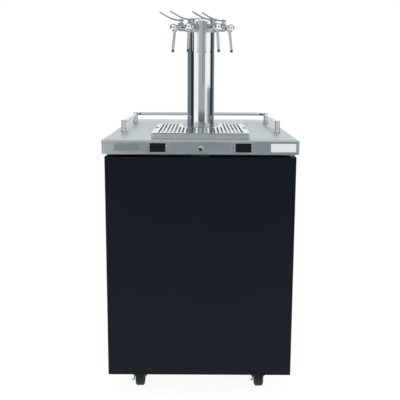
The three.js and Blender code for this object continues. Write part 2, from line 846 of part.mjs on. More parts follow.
function gripCup(wall) {
  const outline = roundedRectangle(
    gripX0 - wall, gripY0 - wall, gripX1 + wall, gripY1 + wall, gripCornerRadius + wall,
  );
  return raised(outline, doorTop - gripDepth - wall, doorTop + overrun, undefined, 3);
}

function hingeBore() {
  return bar(
    hingePinRadius + runningGap, [hingeX, hingeY, doorBottom - overrun], [hingeX, hingeY, doorTop + overrun],
    smallSides,
  );
}

function makeDoorSkin() {
  const half = cabinetWidth / 2;
  const back = doorBackY - doorLinerFlange - seatGap;
  const edgeX = half - doorEdgeRadius;
  const edgeY = doorFrontY + doorEdgeRadius;
  const outline = new THREE.Shape();
  outline.moveTo(-half, back);
  outline.lineTo(-half, edgeY);
  outline.absarc(-edgeX, edgeY, doorEdgeRadius, Math.PI, 1.5 * Math.PI);
  outline.lineTo(edgeX, doorFrontY);
  outline.absarc(edgeX, edgeY, doorEdgeRadius, 1.5 * Math.PI, 2 * Math.PI);
  outline.lineTo(half, back);
  const outer = raised(outline, doorBottom, doorTop, undefined, 3);
  const hollow = block(
    [-half + doorSheet, doorFrontY + doorSheet, doorBottom + doorSheet],
    [half - doorSheet, back + overrun, doorTop - doorSheet],
  );
  const cup = gripCup(doorSheet).intersect(outer);
  const lipCut = block(
    [gripX0, doorFrontY - overrun, doorTop - gripLipDrop],
    [gripX1, gripY0 + gripCornerRadius, doorTop + overrun],
  );
  return cut(join(cut(outer, hollow), cup), gripCup(0), lipCut, hingeBore());
}

// Door liner: the moulded inner face with its raised rim, and the foam behind the skin
function makeDoorLiner() {
  const half = cabinetWidth / 2;
  const core = block(
    [-half + doorSheet + seatGap, doorFrontY + doorSheet + seatGap, doorBottom + doorSheet + seatGap],
    [half - doorSheet - seatGap, doorBackY, doorTop - doorSheet - seatGap],
  );
  const flange = block([-half, doorBackY - doorLinerFlange, doorBottom], [half, doorBackY, doorTop]);
  const rimOutline = (inset) =>
    roundedRectangle(
      -half + inset, doorBottom + inset, half - inset, doorTop - inset, doorRimCornerRadius,
    );
  const rim = cut(
    raised(rimOutline(doorRimInset), doorBackY - overrun, doorBackY + doorRimDepth, upright, 2),
    raised(
      rimOutline(doorRimInset + doorRimWidth), doorBackY, doorBackY + doorRimDepth + overrun, upright, 2,
    ),
  );
  return cut(join(core, flange, rim), gripCup(doorSheet + seatGap), hingeBore());
}

// Door gasket: a magnetic seal with a softened edge
function makeGasket() {
  const half = cabinetWidth / 2 - gasketInset;
  const [bottom, top] = [doorBottom + gasketInset, doorTop - gasketInset];
  const ring = (inset, from, to) =>
    cut(
      raised(
        roundedRectangle(-half + inset, bottom + inset, half - inset, top - inset, gasketWidth - inset),
        from, to, upright, 2,
      ),
      block(
        [-half + gasketWidth - inset, from - overrun, bottom + gasketWidth - inset],
        [half - gasketWidth + inset, to + overrun, top - gasketWidth + inset],
      ),
    );
  const middle = doorBackY + gasketThickness / 2;
  return join(
    ring(0, doorBackY + seatGap, middle + seatGap),
    ring(gasketWidth / 5, middle, cabinetFrontY - seatGap),
  );
}

// Strike: the angle on the door's upper edge that the lock's cam turns down behind
const strikeY = camFrontY - strikeCamGap - strikeSheet;

function makeStrike() {
  const foot = doorTop + seatGap;
  const start = [-strikeWidth / 2, strikeY, foot];
  return join(
    block(start, [strikeWidth / 2, strikeY + strikeFootDepth, foot + strikeSheet]),
    block(start, [strikeWidth / 2, strikeY + strikeSheet, foot + strikeHeight]),
  );
}

// Hinge brackets: leaves over and under the door, each with its pin
function makeHinge(isUpper) {
  const doorEdge = isUpper ? doorTop : doorBottom;
  const away = isUpper ? 1 : -1;
  const width = isUpper ? hingeLeafWidth : lowerHingeWidth;
  const leafFar = isUpper
    ? fasciaBottom - seatGap / 2
    : doorBottom - hingeWasherGap - hingeLeafSheet;
  const leafNear = leafFar - away * hingeLeafSheet;
  const back = cabinetFrontY - seatGap;
  const x0 = hingeX - width / 2;
  const x1 = Math.min(hingeX + width / 2, cabinetWidth / 2);
  const between = (a, b) => [Math.min(a, b), Math.max(a, b)];
  const [leafLow, leafHigh] = between(leafNear, leafFar);
  const upstand = isUpper ? -hingeUpstand : hingeUpstand + hingeLeafSheet;
  const [upLow, upHigh] = between(leafFar, leafFar + upstand);
  return join(
    block([x0, hingeY - hingeLeafOverlap, leafLow], [x1, back, leafHigh]),
    block([x0, back - hingeUpstandSheet, upLow], [x1, back, upHigh]),
    bar(
      hingePinRadius,
      [hingeX, hingeY, leafNear + (away * hingeLeafSheet) / 2],
      [hingeX, hingeY, doorEdge - away * hingePinReach],
      smallSides,
    ),
  );
}

// Lock: a housing with its nut, and a keyed cylinder that carries the cam
function makeLockHousing() {
  const body = bar(
    lockBarrelRadius, [0, frontY - seatGap, lockZ], [0, frontY + lockBarrelLength, lockZ],
  );
  const head = turned(
    [
      [0, 0],
      [lockHeadRadius, 0],
      [lockHeadRadius, lockHeadHeight - lockHeadChamfer],
      [lockHeadRadius - lockHeadChamfer, lockHeadHeight],
      [0, lockHeadHeight],
    ],
    midSides, placed(0, frontY - seatGap, lockZ, Math.PI / 2),
  );
  const nutFront = frontY + counterSheet + seatGap;
  const nutBack = nutFront + lockNutThickness;
  const nut = bar(lockNutRadius, [0, nutFront, lockZ], [0, nutBack, lockZ], tinySides);
  const bore = bar(
    lockCoreRadius + runningGap,
    [0, frontY - lockHeadHeight - overrun, lockZ],
    [0, frontY + lockBarrelLength + overrun, lockZ],
  );
  return cut(join(body, head, nut), bore);
}

function makeLockCylinder() {
  const front = frontY - lockHeadHeight;
  const core = bar(lockCoreRadius, [0, front, lockZ], [0, camFrontY + lockCamSheet / 2, lockZ]);
  const outline = new THREE.Shape();
  const half = lockCamWidth / 2;
  outline.absarc(0, lockZ, lockCoreRadius, Math.PI / 2, 1.5 * Math.PI);
  outline.absarc(lockCamReach - half, lockZ, half, -Math.PI / 2, Math.PI / 2);
  const cam = raised(outline, camFrontY, camFrontY + lockCamSheet, upright, 5);
  const slot = block(
    [-keySlotWidth / 2, front - overrun, lockZ - keySlotHeight / 2],
    [keySlotWidth / 2, front + keySlotDepth, lockZ + keySlotHeight / 2],
  );
  return cut(join(core, cam), slot);
}

// Temperature controller: a thin face, and the body that passes through the fascia
function makeController(x) {
  const faceBack = frontY - seatGap;
  const face = raised(
    roundedRectangle(
      x - controllerFaceWidth / 2, controllerZ - controllerFaceHeight / 2,
      x + controllerFaceWidth / 2, controllerZ + controllerFaceHeight / 2, controllerFaceRadius,
    ),
    faceBack - controllerFaceSheet, faceBack, upright, 2,
  );
  const body = block(
    [x - controllerBodyWidth / 2, faceBack - seatGap, controllerZ - controllerBodyHeight / 2],
    [x + controllerBodyWidth / 2, frontY + controllerBodyDepth, controllerZ + controllerBodyHeight / 2],
  );
  const window = block(
    [
      x - displayWidth / 2 - seatGap,
      faceBack - controllerFaceSheet - overrun,
      controllerZ - displayHeight / 2 - seatGap,
    ],
    [
      x + displayWidth / 2 + seatGap,
      faceBack - controllerFaceSheet + displaySheet,
      controllerZ + displayHeight / 2 + seatGap,
    ],
  );
  return cut(join(face, body), window);
}

function makeDisplay(x) {
  const front = frontY - seatGap - controllerFaceSheet;
  return raised(
    roundedRectangle(
      x - displayWidth / 2, controllerZ - displayHeight / 2,
      x + displayWidth / 2, controllerZ + displayHeight / 2, displaySheet,
    ),
    front - seatGap, front + displaySheet - seatGap, upright, 1,
  );
}

// Drip tray: both the pan and the grille follow one outline, notched round the column
function trayOutline(inset) {
  const half = trayWidth / 2 - inset;
  const front = trayFrontY + inset;
  const back = trayFrontY + trayDepth - inset;
  const corner = Math.max(trayCornerRadius - inset, trayCornerRadius / 4);
  const notch = trayNotchRadius + inset;
  const outline = new THREE.Shape();
  outline.moveTo(-half + corner, front);
  outline.lineTo(half - corner, front);
  outline.absarc(half - corner, front + corner, corner, -Math.PI / 2, 0);
  outline.lineTo(half, back - corner);
  outline.absarc(half - corner, back - corner, corner, 0, Math.PI / 2);
  outline.lineTo(notch, back);
  outline.absarc(0, towerY, notch, 0, Math.PI, true);
  outline.lineTo(-notch, back);
  outline.lineTo(-half + corner, back);
  outline.absarc(-half + corner, back - corner, corner, Math.PI / 2, Math.PI);
  outline.lineTo(-half, front + corner);
  outline.absarc(-half + corner, front + corner, corner, Math.PI, 1.5 * Math.PI);
  return outline;
}

function makeTrayPan() {
  const pan = cut(
    raised(trayOutline(0), trayFloor, trayTop, undefined, 4),
    raised(trayOutline(traySheet), trayFloor + traySheet, trayTop + overrun, undefined, 4),
  );
  const drainBottom = trayFloor - drainLength;
  const spout = bar(
    drainRadius, [-drainSide, drainY, drainBottom], [-drainSide, drainY, trayFloor + traySheet / 2],
  );
  const bore = bar(
    drainRadius - drainWall,
    [-drainSide, drainY, drainBottom - overrun],
    [-drainSide, drainY, trayFloor + traySheet + overrun],
    smallSides,
  );
  return cut(join(pan, spout), bore);
}

function makeGrille() {
  const bottom = trayTop + seatGap;
  const top = bottom + grilleSheet;
  const front = trayFrontY + grilleMargin;
  const back = trayFrontY + trayDepth - grilleMargin;
  const ringReach = trayNotchRadius + grilleMargin;
  const ringDrop = (beside) => Math.sqrt(ringReach ** 2 - (beside * grilleNotchMarginShare) ** 2);
  const slots = [];
  const count = Math.floor((trayWidth / 2 - grilleMargin) / grilleSlotPitch);
  for (let i = -count; i < count; i += 1) {
    const x = i * grilleSlotPitch + grilleSlotPitch / 2;
    const beside = Math.abs(x) + grilleSlotWidth / 2;
    const slotBack = beside < ringReach ? towerY - ringDrop(beside) : back;
    slots.push(
      block(
        [x - grilleSlotWidth / 2, front, bottom - overrun],
        [x + grilleSlotWidth / 2, slotBack, top + overrun],
      ),
    );
  }
  const notchY = trayFrontY + fingerNotchBehindFront;
  const notches = [-1, 1].map((side) => {
    const edge = (side * trayWidth) / 2;
    return raised(
      roundedRectangle(
        edge - fingerNotchWidth, notchY - fingerNotchLength / 2,
        edge + fingerNotchWidth, notchY + fingerNotchLength / 2, fingerNotchWidth / 2,
      ),
      bottom - overrun, top + overrun, undefined, 2,
    );
  });
  const plate = cut(raised(trayOutline(0), bottom, top, undefined, 4), ...slots, ...notches);
  const ribInset = traySheet + seatGap * 2;
  const ribHalf = trayWidth / 2 - trayCornerRadius * 2;
  const ribY = [trayFrontY + ribInset, trayFrontY + trayDepth - ribInset - grilleRibSheet];
  const ribs = ribY.flatMap((y) => {
    const spans = y < towerY ? [[-ribHalf, ribHalf]] : [[-ribHalf, -ringReach], [ringReach, ribHalf]];
    return spans.map(([x0, x1]) =>
      block([x0, y, bottom - grilleRibHeight], [x1, y + grilleRibSheet, bottom + grilleSheet / 2]),
    );
  });
  return join(plate, ...ribs);
}

// Guard rail: one bent tube on four capped posts
function makeGuardRail() {
  const z = counterHeight + railCentreHeight;
  const postY = frontY + railFrontSetback;
  const rearPostY = -frontY - railRearPostInset;
  const backY = -frontY - railBackInset;
  const bendX = railHalfWidth - railBendRadius;
  const bendY = backY - railBendRadius;
  const sides = [-1, 1].map((side) => {
    const x = side * railHalfWidth;
    return bar(railTubeRadius, [x, postY, z], [x, bendY + overrun, z], smallSides);
  });
  const backEnd = bendX + overrun;
  const backTube = bar(railTubeRadius, [-backEnd, backY, z], [backEnd, backY, z], smallSides);
  const bends = [-1, 1].map((side) => {
    const endAngle = side < 0 ? Math.PI : 0;
    const points = arcPoints(side * bendX, bendY, railBendRadius, Math.PI / 2, endAngle, 10);
    const curve = new THREE.CatmullRomCurve3(points.map(([x, y]) => new THREE.Vector3(x, y, z)));
    return swept(curve, railTubeRadius, smallSides / 2, 5);
  });
  const posts = [-1, 1].flatMap((side) =>
    [postY, rearPostY].map((y) => {
      const foot = counterHeight + seatGap;
      const top = z + railTubeRadius + railCapHeight / 2;
      const profile = [
        [0, foot],
        [railFootRadius, foot],
        [railPostRadius, foot + railFootHeight],
        [railPostRadius, top - railCapHeight],
        [railCapRadius, top - railCapHeight],
        [railCapRadius - railCapChamfer, top],
        [0, top],
      ];
      return turned(profile, smallSides, placed(side * railHalfWidth, y, 0));
    }),
  );
  return join(backTube, ...sides, ...bends, ...posts);
}

// Tower: the column with its base ring, domed cap and the insulated bundle of wine lines inside
// A bearing is counted from straight ahead.
const taps = [
  { name: "tap_1", bearing: THREE.MathUtils.degToRad(-58) },
  { name: "tap_2", bearing: THREE.MathUtils.degToRad(-22.5) },
  { name: "tap_3", bearing: THREE.MathUtils.degToRad(31.5) },
  { name: "tap_4", bearing: THREE.MathUtils.degToRad(68) },
].map((tap) => ({ ...tap, heading: tap.bearing - Math.PI / 2 }));

function makeFlange() {
  const foot = counterHeight + seatGap;
  const bore = columnRadius + seatGap;
  return turned(
    [
      [bore, foot],
      [flangeRadius, foot],
      [flangeRadius, foot + flangeHeight - flangeChamfer],
      [flangeRadius - flangeChamfer, foot + flangeHeight],
      [bore, foot + flangeHeight],
      [bore, foot],
    ],
    bigSides, placed(0, towerY, 0),
  );
}

function makeColumn() {
  const foot = counterHeight + seatGap;
  const top = counterHeight + columnHeight;
  const inner = columnRadius - columnWall;
  const tube = turned(
    [
      [inner, foot],
      [columnRadius, foot],
      [columnRadius, top],
      [inner, top],
      [inner, foot],
    ],
    bigSides, placed(0, towerY, 0),
  );
  const holes = taps.map(({ bearing }) => {
    const [dx, dy] = [Math.sin(bearing), -Math.cos(bearing)];
    const at = (reach) => [dx * reach, towerY + dy * reach, tapAxis];
    return bar(shankRadius + seatGap, at(inner / 2), at(columnRadius + overrun));
  });
  return cut(tube, ...holes);
}

function makeCap() {
  const foot = counterHeight + columnHeight + seatGap;
  const top = foot + capHeight;
  const plug = columnRadius - columnWall - seatGap;
  const dome = arcPoints(
    columnRadius - capEdgeRadius, top - capEdgeRadius, capEdgeRadius, 0, Math.PI / 2, 3,
  );
  return turned(
    [
      [0, foot - capPlugDepth],
      [plug, foot - capPlugDepth],
      [plug, foot],
      [columnRadius, foot],
      ...dome,
      [0, top],
    ],
    bigSides, placed(0, towerY, 0),
  );
}

function makeLineBundle() {
  return bar(
    lineBundleRadius, [0, towerY, kegCeiling - lineBundleDrop], [0, towerY, tapAxis - lineBundleHeadroom],
  );
}

// Tap body, along local X from the column's axis: shank, saddle, collar, barrel, neck, ball and bonnet
function makeTapBody({ heading, bearing }) {
  const alongX = placed(0, 0, 0, 0, Math.PI / 2, 0);
  const saddleEnd = columnRadius + saddleThickness;
  const collarEnd = saddleEnd + collarLength;
  const neckMeetsBall = ballReach - Math.sqrt(ballRadius ** 2 - neckRadius ** 2);
  const ballStart = Math.PI - Math.asin(neckRadius / ballRadius);
  const ball = arcPoints(ballReach, 0, ballRadius, ballStart, 0, 5).map(([x, r]) => [Math.max(r, 0), x]);
  const barrel = turned(
    [
      [0, shankInnerReach],
      [shankRadius, shankInnerReach],
      [shankRadius, shankNutInner],
      [shankNutRadius, shankNutInner],
      [shankNutRadius, shankNutOuter],
      [shankRadius, shankNutOuter],
      [shankRadius, saddleEnd],
      [collarRadius, saddleEnd],
      [collarRadius, collarEnd],
      [barrelRadius, collarEnd + (collarRadius - barrelRadius)],
      [barrelRadius, barrelEnd - (barrelRadius - neckRadius)],
      [neckRadius, barrelEnd],
      [neckRadius, neckMeetsBall],
      ...ball.slice(1, -1),
      [0, ballReach + ballRadius],
    ],
    fewSides, alongX,
  );
  const saddle = cut(
    bar(saddleRadius, [columnRadius / 2, 0, 0], [saddleEnd, 0, 0], fewSides),
    bar(columnRadius + seatGap, [0, 0, -columnRadius], [0, 0, columnRadius], bigSides),
  );
  const bonnet = turned(
    [
      [0, 0],
      [bonnetRadius, 0],
      [bonnetRadius, bonnetHeight - bonnetCapHeight],
      [bonnetCapRadius, bonnetHeight - bonnetCapHeight],
      [bonnetCapRadius, bonnetHeight],
      [0, bonnetHeight],
    ],
    smallSides, placed(bonnetReach, 0, 0),
  );
  const ears = [-1, 1].map((side) => {
    const outline = new THREE.Shape();
    outline.moveTo(-earRadius, bonnetHeight - bonnetCapHeight);
    outline.lineTo(earRadius, bonnetHeight - bonnetCapHeight);
    outline.absarc(0, pivotHeight, earRadius, 0, Math.PI);
    const y0 = side < 0 ? -earGap / 2 - earThickness : earGap / 2;
    const squareToLever = placed(bonnetReach, 0, 0, 0, 0, -heading);
    return raised(outline, y0, y0 + earThickness, squareToLever.multiply(upright), 3);
  });
  const [pinX, pinY] = [Math.sin(heading) * earGap, Math.cos(heading) * earGap];
  const pinHole = bar(
    pivotPinRadius + runningGap,
    [bonnetReach - pinX, -pinY, pivotHeight],
    [bonnetReach + pinX, pinY, pivotHeight],
    smallSides,
  );
  const stemBore = bar(
    stemRadius + runningGap,
    [bonnetReach, 0, stemTop - stemLength - stemTravel - overrun],
    [bonnetReach, 0, bonnetHeight + overrun],
    smallSides,
  );
  const screwSide = bearing < 0 ? 1 : -1;
  const screwEnd = [flowScrewReach, screwSide * flowScrewProud, 0];
  const screw = bar(flowScrewRadius, [flowScrewReach, 0, 0], screwEnd, smallSides);
  const spoutCollar = bar(
    spoutCollarRadius, spoutPoint(ballRadius / 2), spoutPoint(spoutCollarDrop), smallSides,
  );
  const socket = bar(
    spoutRadius + seatGap,
    spoutPoint(spoutSocketDepth),
    spoutPoint(spoutCollarDrop + overrun),
    smallSides,
  );
  return cut(join(barrel, saddle, bonnet, ...ears, screw, spoutCollar), pinHole, stemBore, socket);
}

// A point on the spout's axis, so far below the tap's own axis.
function spoutPoint(drop) {
  return [ballReach - spoutInset + drop * Math.tan(spoutSlant), 0, -drop];
}

function makeSpout() {
  const pipeTop = spoutPoint(spoutSocketDepth + seatGap);
  const pipe = bar(spoutRadius, pipeTop, spoutPoint(spoutDrop - overrun), smallSides);
  const tipTop = spoutPoint(spoutDrop - spoutTipLength);
  const tip = bar(spoutTipRadius, tipTop, spoutPoint(spoutDrop), smallSides);
  const bore = bar(
    spoutBoreRadius, spoutPoint(spoutDrop - spoutBoreDepth), spoutPoint(spoutDrop + overrun), smallSides,
  );
  return cut(join(pipe, tip), bore);
}

// Tap lever, with its pivot at the origin and its paddle toward -X
const camLow = leverCamRadius + leverCamOffset * Math.cos(camRestAngle);
const stemTop = pivotHeight - Math.max(camLow, leverHubRadius) - leverCamGap;

function makeLever() {
  const [bendIn, bendDown, bendOut, bendUp] = leverBendShares;
  const half = leverThickness / 2;
  const side = new THREE.Shape();
  side.moveTo(0, half);
  side.bezierCurveTo(
    -leverReach * bendIn, leverRise * bendDown + half,
    -leverReach * bendOut, leverRise * bendUp + half,
    -leverReach - half, leverRise + half,
  );
  side.lineTo(-leverReach - half, leverRise - half);
  side.bezierCurveTo(
    -leverReach * bendOut, leverRise * bendUp - half,
    -leverReach * bendIn, leverRise * bendDown - half,
    0, -half,
  );
  const blade = raised(side, -leverPaddleWidth, leverPaddleWidth, upright, 6);
  const paddle = leverPaddleWidth / 2;
  const neck = leverNeckWidth / 2;
  const waist = -leverReach * leverWaistShare;
  const plan = new THREE.Shape();
  plan.moveTo(0, -neck);
  plan.lineTo(0, neck);
  plan.lineTo(waist, neck);
  plan.quadraticCurveTo((waist - leverReach + paddle) / 2, neck, -leverReach + paddle, paddle);
  plan.absarc(-leverReach + paddle, 0, paddle, Math.PI / 2, 1.5 * Math.PI);
  plan.quadraticCurveTo((waist - leverReach + paddle) / 2, -neck, waist, -neck);
  const trimmed = blade.intersect(raised(plan, -leverRise, 2 * leverRise, undefined, 3));
  const hubHalf = earGap / 2 - seatGap;
  const hub = bar(leverHubRadius, [0, -hubHalf, 0], [0, hubHalf, 0], smallSides);
  const camX = leverCamOffset * Math.sin(camRestAngle);
  const camZ = -leverCamOffset * Math.cos(camRestAngle);
  const cam = bar(leverCamRadius, [camX, -hubHalf, camZ], [camX, hubHalf, camZ], smallSides);
  const pinHalf = earGap / 2 + earThickness + seatGap;
  const pin = bar(pivotPinRadius, [0, -pinHalf, 0], [0, pinHalf, 0], smallSides);
  return join(trimmed, hub, cam, pin);
}

function makeStem() {
  return bar(stemRadius, [0, 0, stemTop - stemLength], [0, 0, stemTop], smallSides);
}

// Casters
const raceBottom = cabinetClearance - casterPlateSheet - casterRaceHeight;
const forkTop = raceBottom - seatGap;
const casterPlaces = [
  { name: "caster_front_left", x: -casterX, y: frontY + casterFrontSetback, braked: true },
  { name: "caster_front_right", x: casterX, y: frontY + casterFrontSetback, braked: true },
  { name: "caster_rear_left", x: -casterX, y: -frontY - casterRearInset, braked: false },
  { name: "caster_rear_right", x: casterX, y: -frontY - casterRearInset, braked: false },
];

// Fork, with the swivel axis at the origin: a round head, two tapered legs and the axle
function makeFork(braked) {
  const headBottom = forkTop - forkHeadThickness;
  const head = bar(forkHeadRadius, [0, 0, headBottom], [0, 0, forkTop], fewSides);
  const half = forkOuterWidth / 2;
  const outline = new THREE.Shape();
  const reach = forkLegReach;
  outline.moveTo(reach, forkTop - forkHeadThickness / 2);
  outline.lineTo(reach, headBottom - forkSheet);
  outline.lineTo(-casterTrail + forkLegRadius, axleZ);
  outline.absarc(-casterTrail, axleZ, forkLegRadius, 0, Math.PI, true);
  outline.lineTo(-reach - forkSheet * 2, headBottom - forkSheet);
  outline.lineTo(-reach, forkTop - forkHeadThickness / 2);
  // The outline is drawn in Y and Z, and raised along X.
  const sideways = new THREE.Matrix4().set(0, 0, 1, 0, 1, 0, 0, 0, 0, 1, 0, 0, 0, 0, 0, 1);
  const legs = [-half, half - forkSheet].map((x) => raised(outline, x, x + forkSheet, sideways, 2));
  const bridge = block([-half, -reach, headBottom], [half, reach, forkTop - seatGap]);
  const leftEnd = -half - (braked ? brakeSheet + 2 * seatGap : 0);
  const onAxle = (x) => [x, -casterTrail, axleZ];
  const nut = (x) => bar(axleNutRadius, onAxle(x), onAxle(x - axleNutHeight), tinySides);
  const axle = bar(
    axleRadius, onAxle(leftEnd - axleNutHeight / 2), onAxle(half + axleNutHeight / 2), smallSides,
  );
  const kingPin = bar(
    axleRadius + runningGap, [0, 0, headBottom - overrun], [0, 0, forkTop + overrun], smallSides,
  );
  const made = cut(join(head, bridge, ...legs), kingPin);
  return join(made, axle, nut(leftEnd), nut(half + axleNutHeight));
}

function makeWheel() {
  const half = wheelWidth / 2;
  const bore = axleRadius + runningGap;
  return turned(
    [
      [bore, -half],
      [wheelHubRadius, -half],
      [wheelRadius - wheelSideBand, -half + wheelHubRecess],
      [wheelRadius - wheelCrown, -half],
      [wheelRadius, -half + wheelCrown],
      [wheelRadius, half - wheelCrown],
      [wheelRadius - wheelCrown, half],
      [wheelRadius - wheelSideBand, half - wheelHubRecess],
      [wheelHubRadius, half],
      [bore, half],
      [bore, -half],
    ],
    wheelSides, placed(0, 0, 0, 0, Math.PI / 2, 0),
  );
}

// Brake lever: an arm on the axle's end beside the leg, with a pad turned outward for the toe
function makeBrakeLever() {
  const outer = -forkOuterWidth / 2 - seatGap;
  const inner = outer - brakeSheet;
  const [cos, sin] = [Math.cos(brakeArmAngle), Math.sin(brakeArmAngle)];
  const eye = bar(brakeEyeRadius, [inner, 0, 0], [outer, 0, 0], smallSides);
  const turn = placed(0, 0, 0, brakeArmAngle);
  const arm = block([inner, 0, -brakeArmWidth / 2], [outer, brakeArmReach, brakeArmWidth / 2], turn);
  const pad = block(
    [inner - brakePadReach, brakeArmReach - brakeSheet, -brakeArmWidth / 2],
    [outer, brakeArmReach, brakeArmWidth / 2],
    turn,
  );
  const bore = bar(axleRadius + runningGap, [inner - overrun, 0, 0], [outer + overrun, 0, 0], smallSides);
  return cut(join(eye, arm, pad), bore);
}

// The finished object
const { satinSteel, polishedSteel, zincSteel, blackSteel, blackPlastic } = finishes;
const { blackRubber, paleLiner, darkGlass, greyFoam, bareAluminium } = finishes;
addPiece("counter_top", makeCounterTop(), satinSteel);
addPiece("front_header", makeHeader(), blackSteel);
addPiece("base_plate", makeBasePlate(), blackSteel);
addPiece("side_panel_left", makeSidePanel(-1), blackSteel);
addPiece("side_panel_right", makeSidePanel(1), blackSteel);
addPiece("rear_panel", makeRearPanel(), blackSteel);
addPiece("power_inlet", makePowerInlet(), blackPlastic);
addPiece("insulated_lining", makeLining(), paleLiner);
addPiece("zone_divider", makeDivider(), paleLiner);
addPiece("evaporator_left", makeEvaporator(-1), paleLiner);
addPiece("evaporator_right", makeEvaporator(1), paleLiner);
addPiece("compressor", makeCompressor(), blackSteel);
addPiece("condenser", makeCondenser(), bareAluminium);
addPiece("fan_frame", makeFanFrame(), zincSteel);
addPiece("fan_blades", makeFan(), blackPlastic);
addPiece("door_skin", makeDoorSkin(), blackSteel);
addPiece("door_liner", makeDoorLiner(), paleLiner);
addPiece("door_gasket", makeGasket(), blackRubber);
addPiece("door_strike", makeStrike(), zincSteel);
addPiece("upper_hinge_bracket", makeHinge(true), zincSteel);
addPiece("lower_hinge_bracket", makeHinge(false), zincSteel);
addPiece("lock_housing", makeLockHousing(), polishedSteel);
addPiece("lock_cylinder", makeLockCylinder(), zincSteel);
["left", "right"].forEach((side, i) => {
  addPiece(`controller_${side}`, makeController(controllerX[i]), satinSteel);
  addPiece(`display_${side}`, makeDisplay(controllerX[i]), darkGlass);
});
addPiece("drip_tray_pan", makeTrayPan(), satinSteel);
addPiece("drip_tray_grille", makeGrille(), satinSteel);
addPiece("guard_rail", makeGuardRail(), satinSteel);
addPiece("tower_flange", makeFlange(), polishedSteel);
addPiece("tower_column", makeColumn(), polishedSteel);
addPiece("tower_cap", makeCap(), polishedSteel);
addPiece("wine_line_bundle", makeLineBundle(), greyFoam);

for (const tap of taps) {
  const { name, bearing, heading } = tap;
  const tapGroup = new THREE.Group();
  tapGroup.position.set(0, towerY, tapAxis);
  tapGroup.rotation.z = heading;
  dispenser.add(tapGroup);
  addPiece(`${name}_body`, makeTapBody(tap), polishedSteel, tapGroup);
  addPiece(`${name}_spout`, makeSpout(), polishedSteel, tapGroup);
  const pivotX = Math.sin(bearing) * bonnetReach;
  const pivotY = towerY - Math.cos(bearing) * bonnetReach;
  const lever = addPiece(`${name}_lever`, makeLever(), polishedSteel);
  lever.position.set(pivotX, pivotY, tapAxis + pivotHeight);
  const stem = addPiece(`${name}_stem`, makeStem(), polishedSteel);
  stem.position.set(pivotX, pivotY, tapAxis);
}

for (const { name, x, y, braked } of casterPlaces) {
  const fork = addPiece(`${name}_fork`, makeFork(braked), blackSteel);
  fork.position.set(x, y, 0);
  const wheel = addPiece(`${name}_wheel`, makeWheel(), blackRubber);
  wheel.position.set(x, y - casterTrail, axleZ);
  if (braked) {
    const brake = addPiece(`${name}_brake`, makeBrakeLever(), zincSteel);
    brake.position.set(x, y - casterTrail, axleZ);
  }
}

export default dispenser;
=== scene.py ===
"""Draft wine dispenser: the looks of a refrigerated two-zone cabinet with a four-tap column.

The packed model gives every place and size. Each operator below makes one group of pieces round it.
"""

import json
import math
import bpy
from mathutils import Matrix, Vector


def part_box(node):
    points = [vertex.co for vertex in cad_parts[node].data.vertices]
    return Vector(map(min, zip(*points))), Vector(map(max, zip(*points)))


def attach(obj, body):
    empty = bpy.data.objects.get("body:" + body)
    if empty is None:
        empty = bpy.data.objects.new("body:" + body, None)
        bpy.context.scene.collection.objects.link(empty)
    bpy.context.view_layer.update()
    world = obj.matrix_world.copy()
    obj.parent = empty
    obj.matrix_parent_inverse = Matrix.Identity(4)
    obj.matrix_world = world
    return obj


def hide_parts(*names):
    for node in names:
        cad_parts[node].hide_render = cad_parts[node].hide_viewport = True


bl_info = {
    "name": "Draft Wine Dispenser",
    "version": (1, 0, 0),
    "blender": (4, 5, 0),
    "location": "3D View > Sidebar > Dispenser",
    "description": "Builds the finished surfaces of a draft wine dispenser round its packed model",
    "category": "Add Mesh",
}

from itertools import pairwise

import bmesh
import bpy
from bpy.props import FloatProperty, FloatVectorProperty, IntProperty, PointerProperty
from bpy.types import Operator, Panel, PropertyGroup
from mathutils import Matrix, Vector

MM = 0.001
CLEAR = 2 * MM  # how far a cutter stands out of what it cuts
MERGE_DISTANCE = 0.002 * MM
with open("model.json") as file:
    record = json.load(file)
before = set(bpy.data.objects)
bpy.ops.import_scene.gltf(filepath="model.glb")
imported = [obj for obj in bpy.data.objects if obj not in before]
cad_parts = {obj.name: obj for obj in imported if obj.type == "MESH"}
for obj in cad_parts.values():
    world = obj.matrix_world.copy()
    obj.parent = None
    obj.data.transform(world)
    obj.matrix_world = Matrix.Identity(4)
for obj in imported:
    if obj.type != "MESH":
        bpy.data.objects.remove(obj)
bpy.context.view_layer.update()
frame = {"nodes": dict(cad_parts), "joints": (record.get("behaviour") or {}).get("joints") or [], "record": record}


# Places read from the packed model


def middle_of(node):
    """The middle of a packed node's box."""
    low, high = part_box(node)
    return (low + high) / 2


def joint(name):
    """One joint of the packed model."""
    return next(j for j in frame["joints"] if j["name"] == name)


COLUMN_LOW, COLUMN_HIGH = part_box("tower_column")
COLUMN_RADIUS = (COLUMN_HIGH.x - COLUMN_LOW.x) / 2
TOWER_MIDDLE = middle_of("tower_column")
COUNTER_LOW, COUNTER_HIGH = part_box("counter_top")
DOOR_LOW, DOOR_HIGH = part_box("door_skin")
LOCK_HEIGHT = joint("lock_turn")["pos_m"][2]
LIT_POINT = Vector((0, 0, 0.7))
CASTERS = ("front_left", "front_right", "rear_left", "rear_right")
SIDES = ("left", "right")
TAPS = (1, 2, 3, 4)


# Sizes and colours that a user would change


def length(name, description, default_mm):
    """A length property, given in millimetres and held in metres."""
    return FloatProperty(
        name=name, description=description, default=default_mm * MM, unit="LENGTH", precision=5
    )


def angle(name, description, degrees):
    """An angle property, given in degrees."""
    return FloatProperty(
        name=name, description=description, default=math.radians(degrees), subtype="ANGLE"
    )


def colour(name, description, code):
    """A colour property, given as an sRGB hex code."""
    return FloatVectorProperty(
        name=name, description=description, default=srgb(code), subtype="COLOR_GAMMA", size=3, min=0, max=1
    )


def srgb(code):
    """The three sRGB shares of a hex code."""
    return tuple(int(code[i : i + 2], 16) / 255 for i in (1, 3, 5))


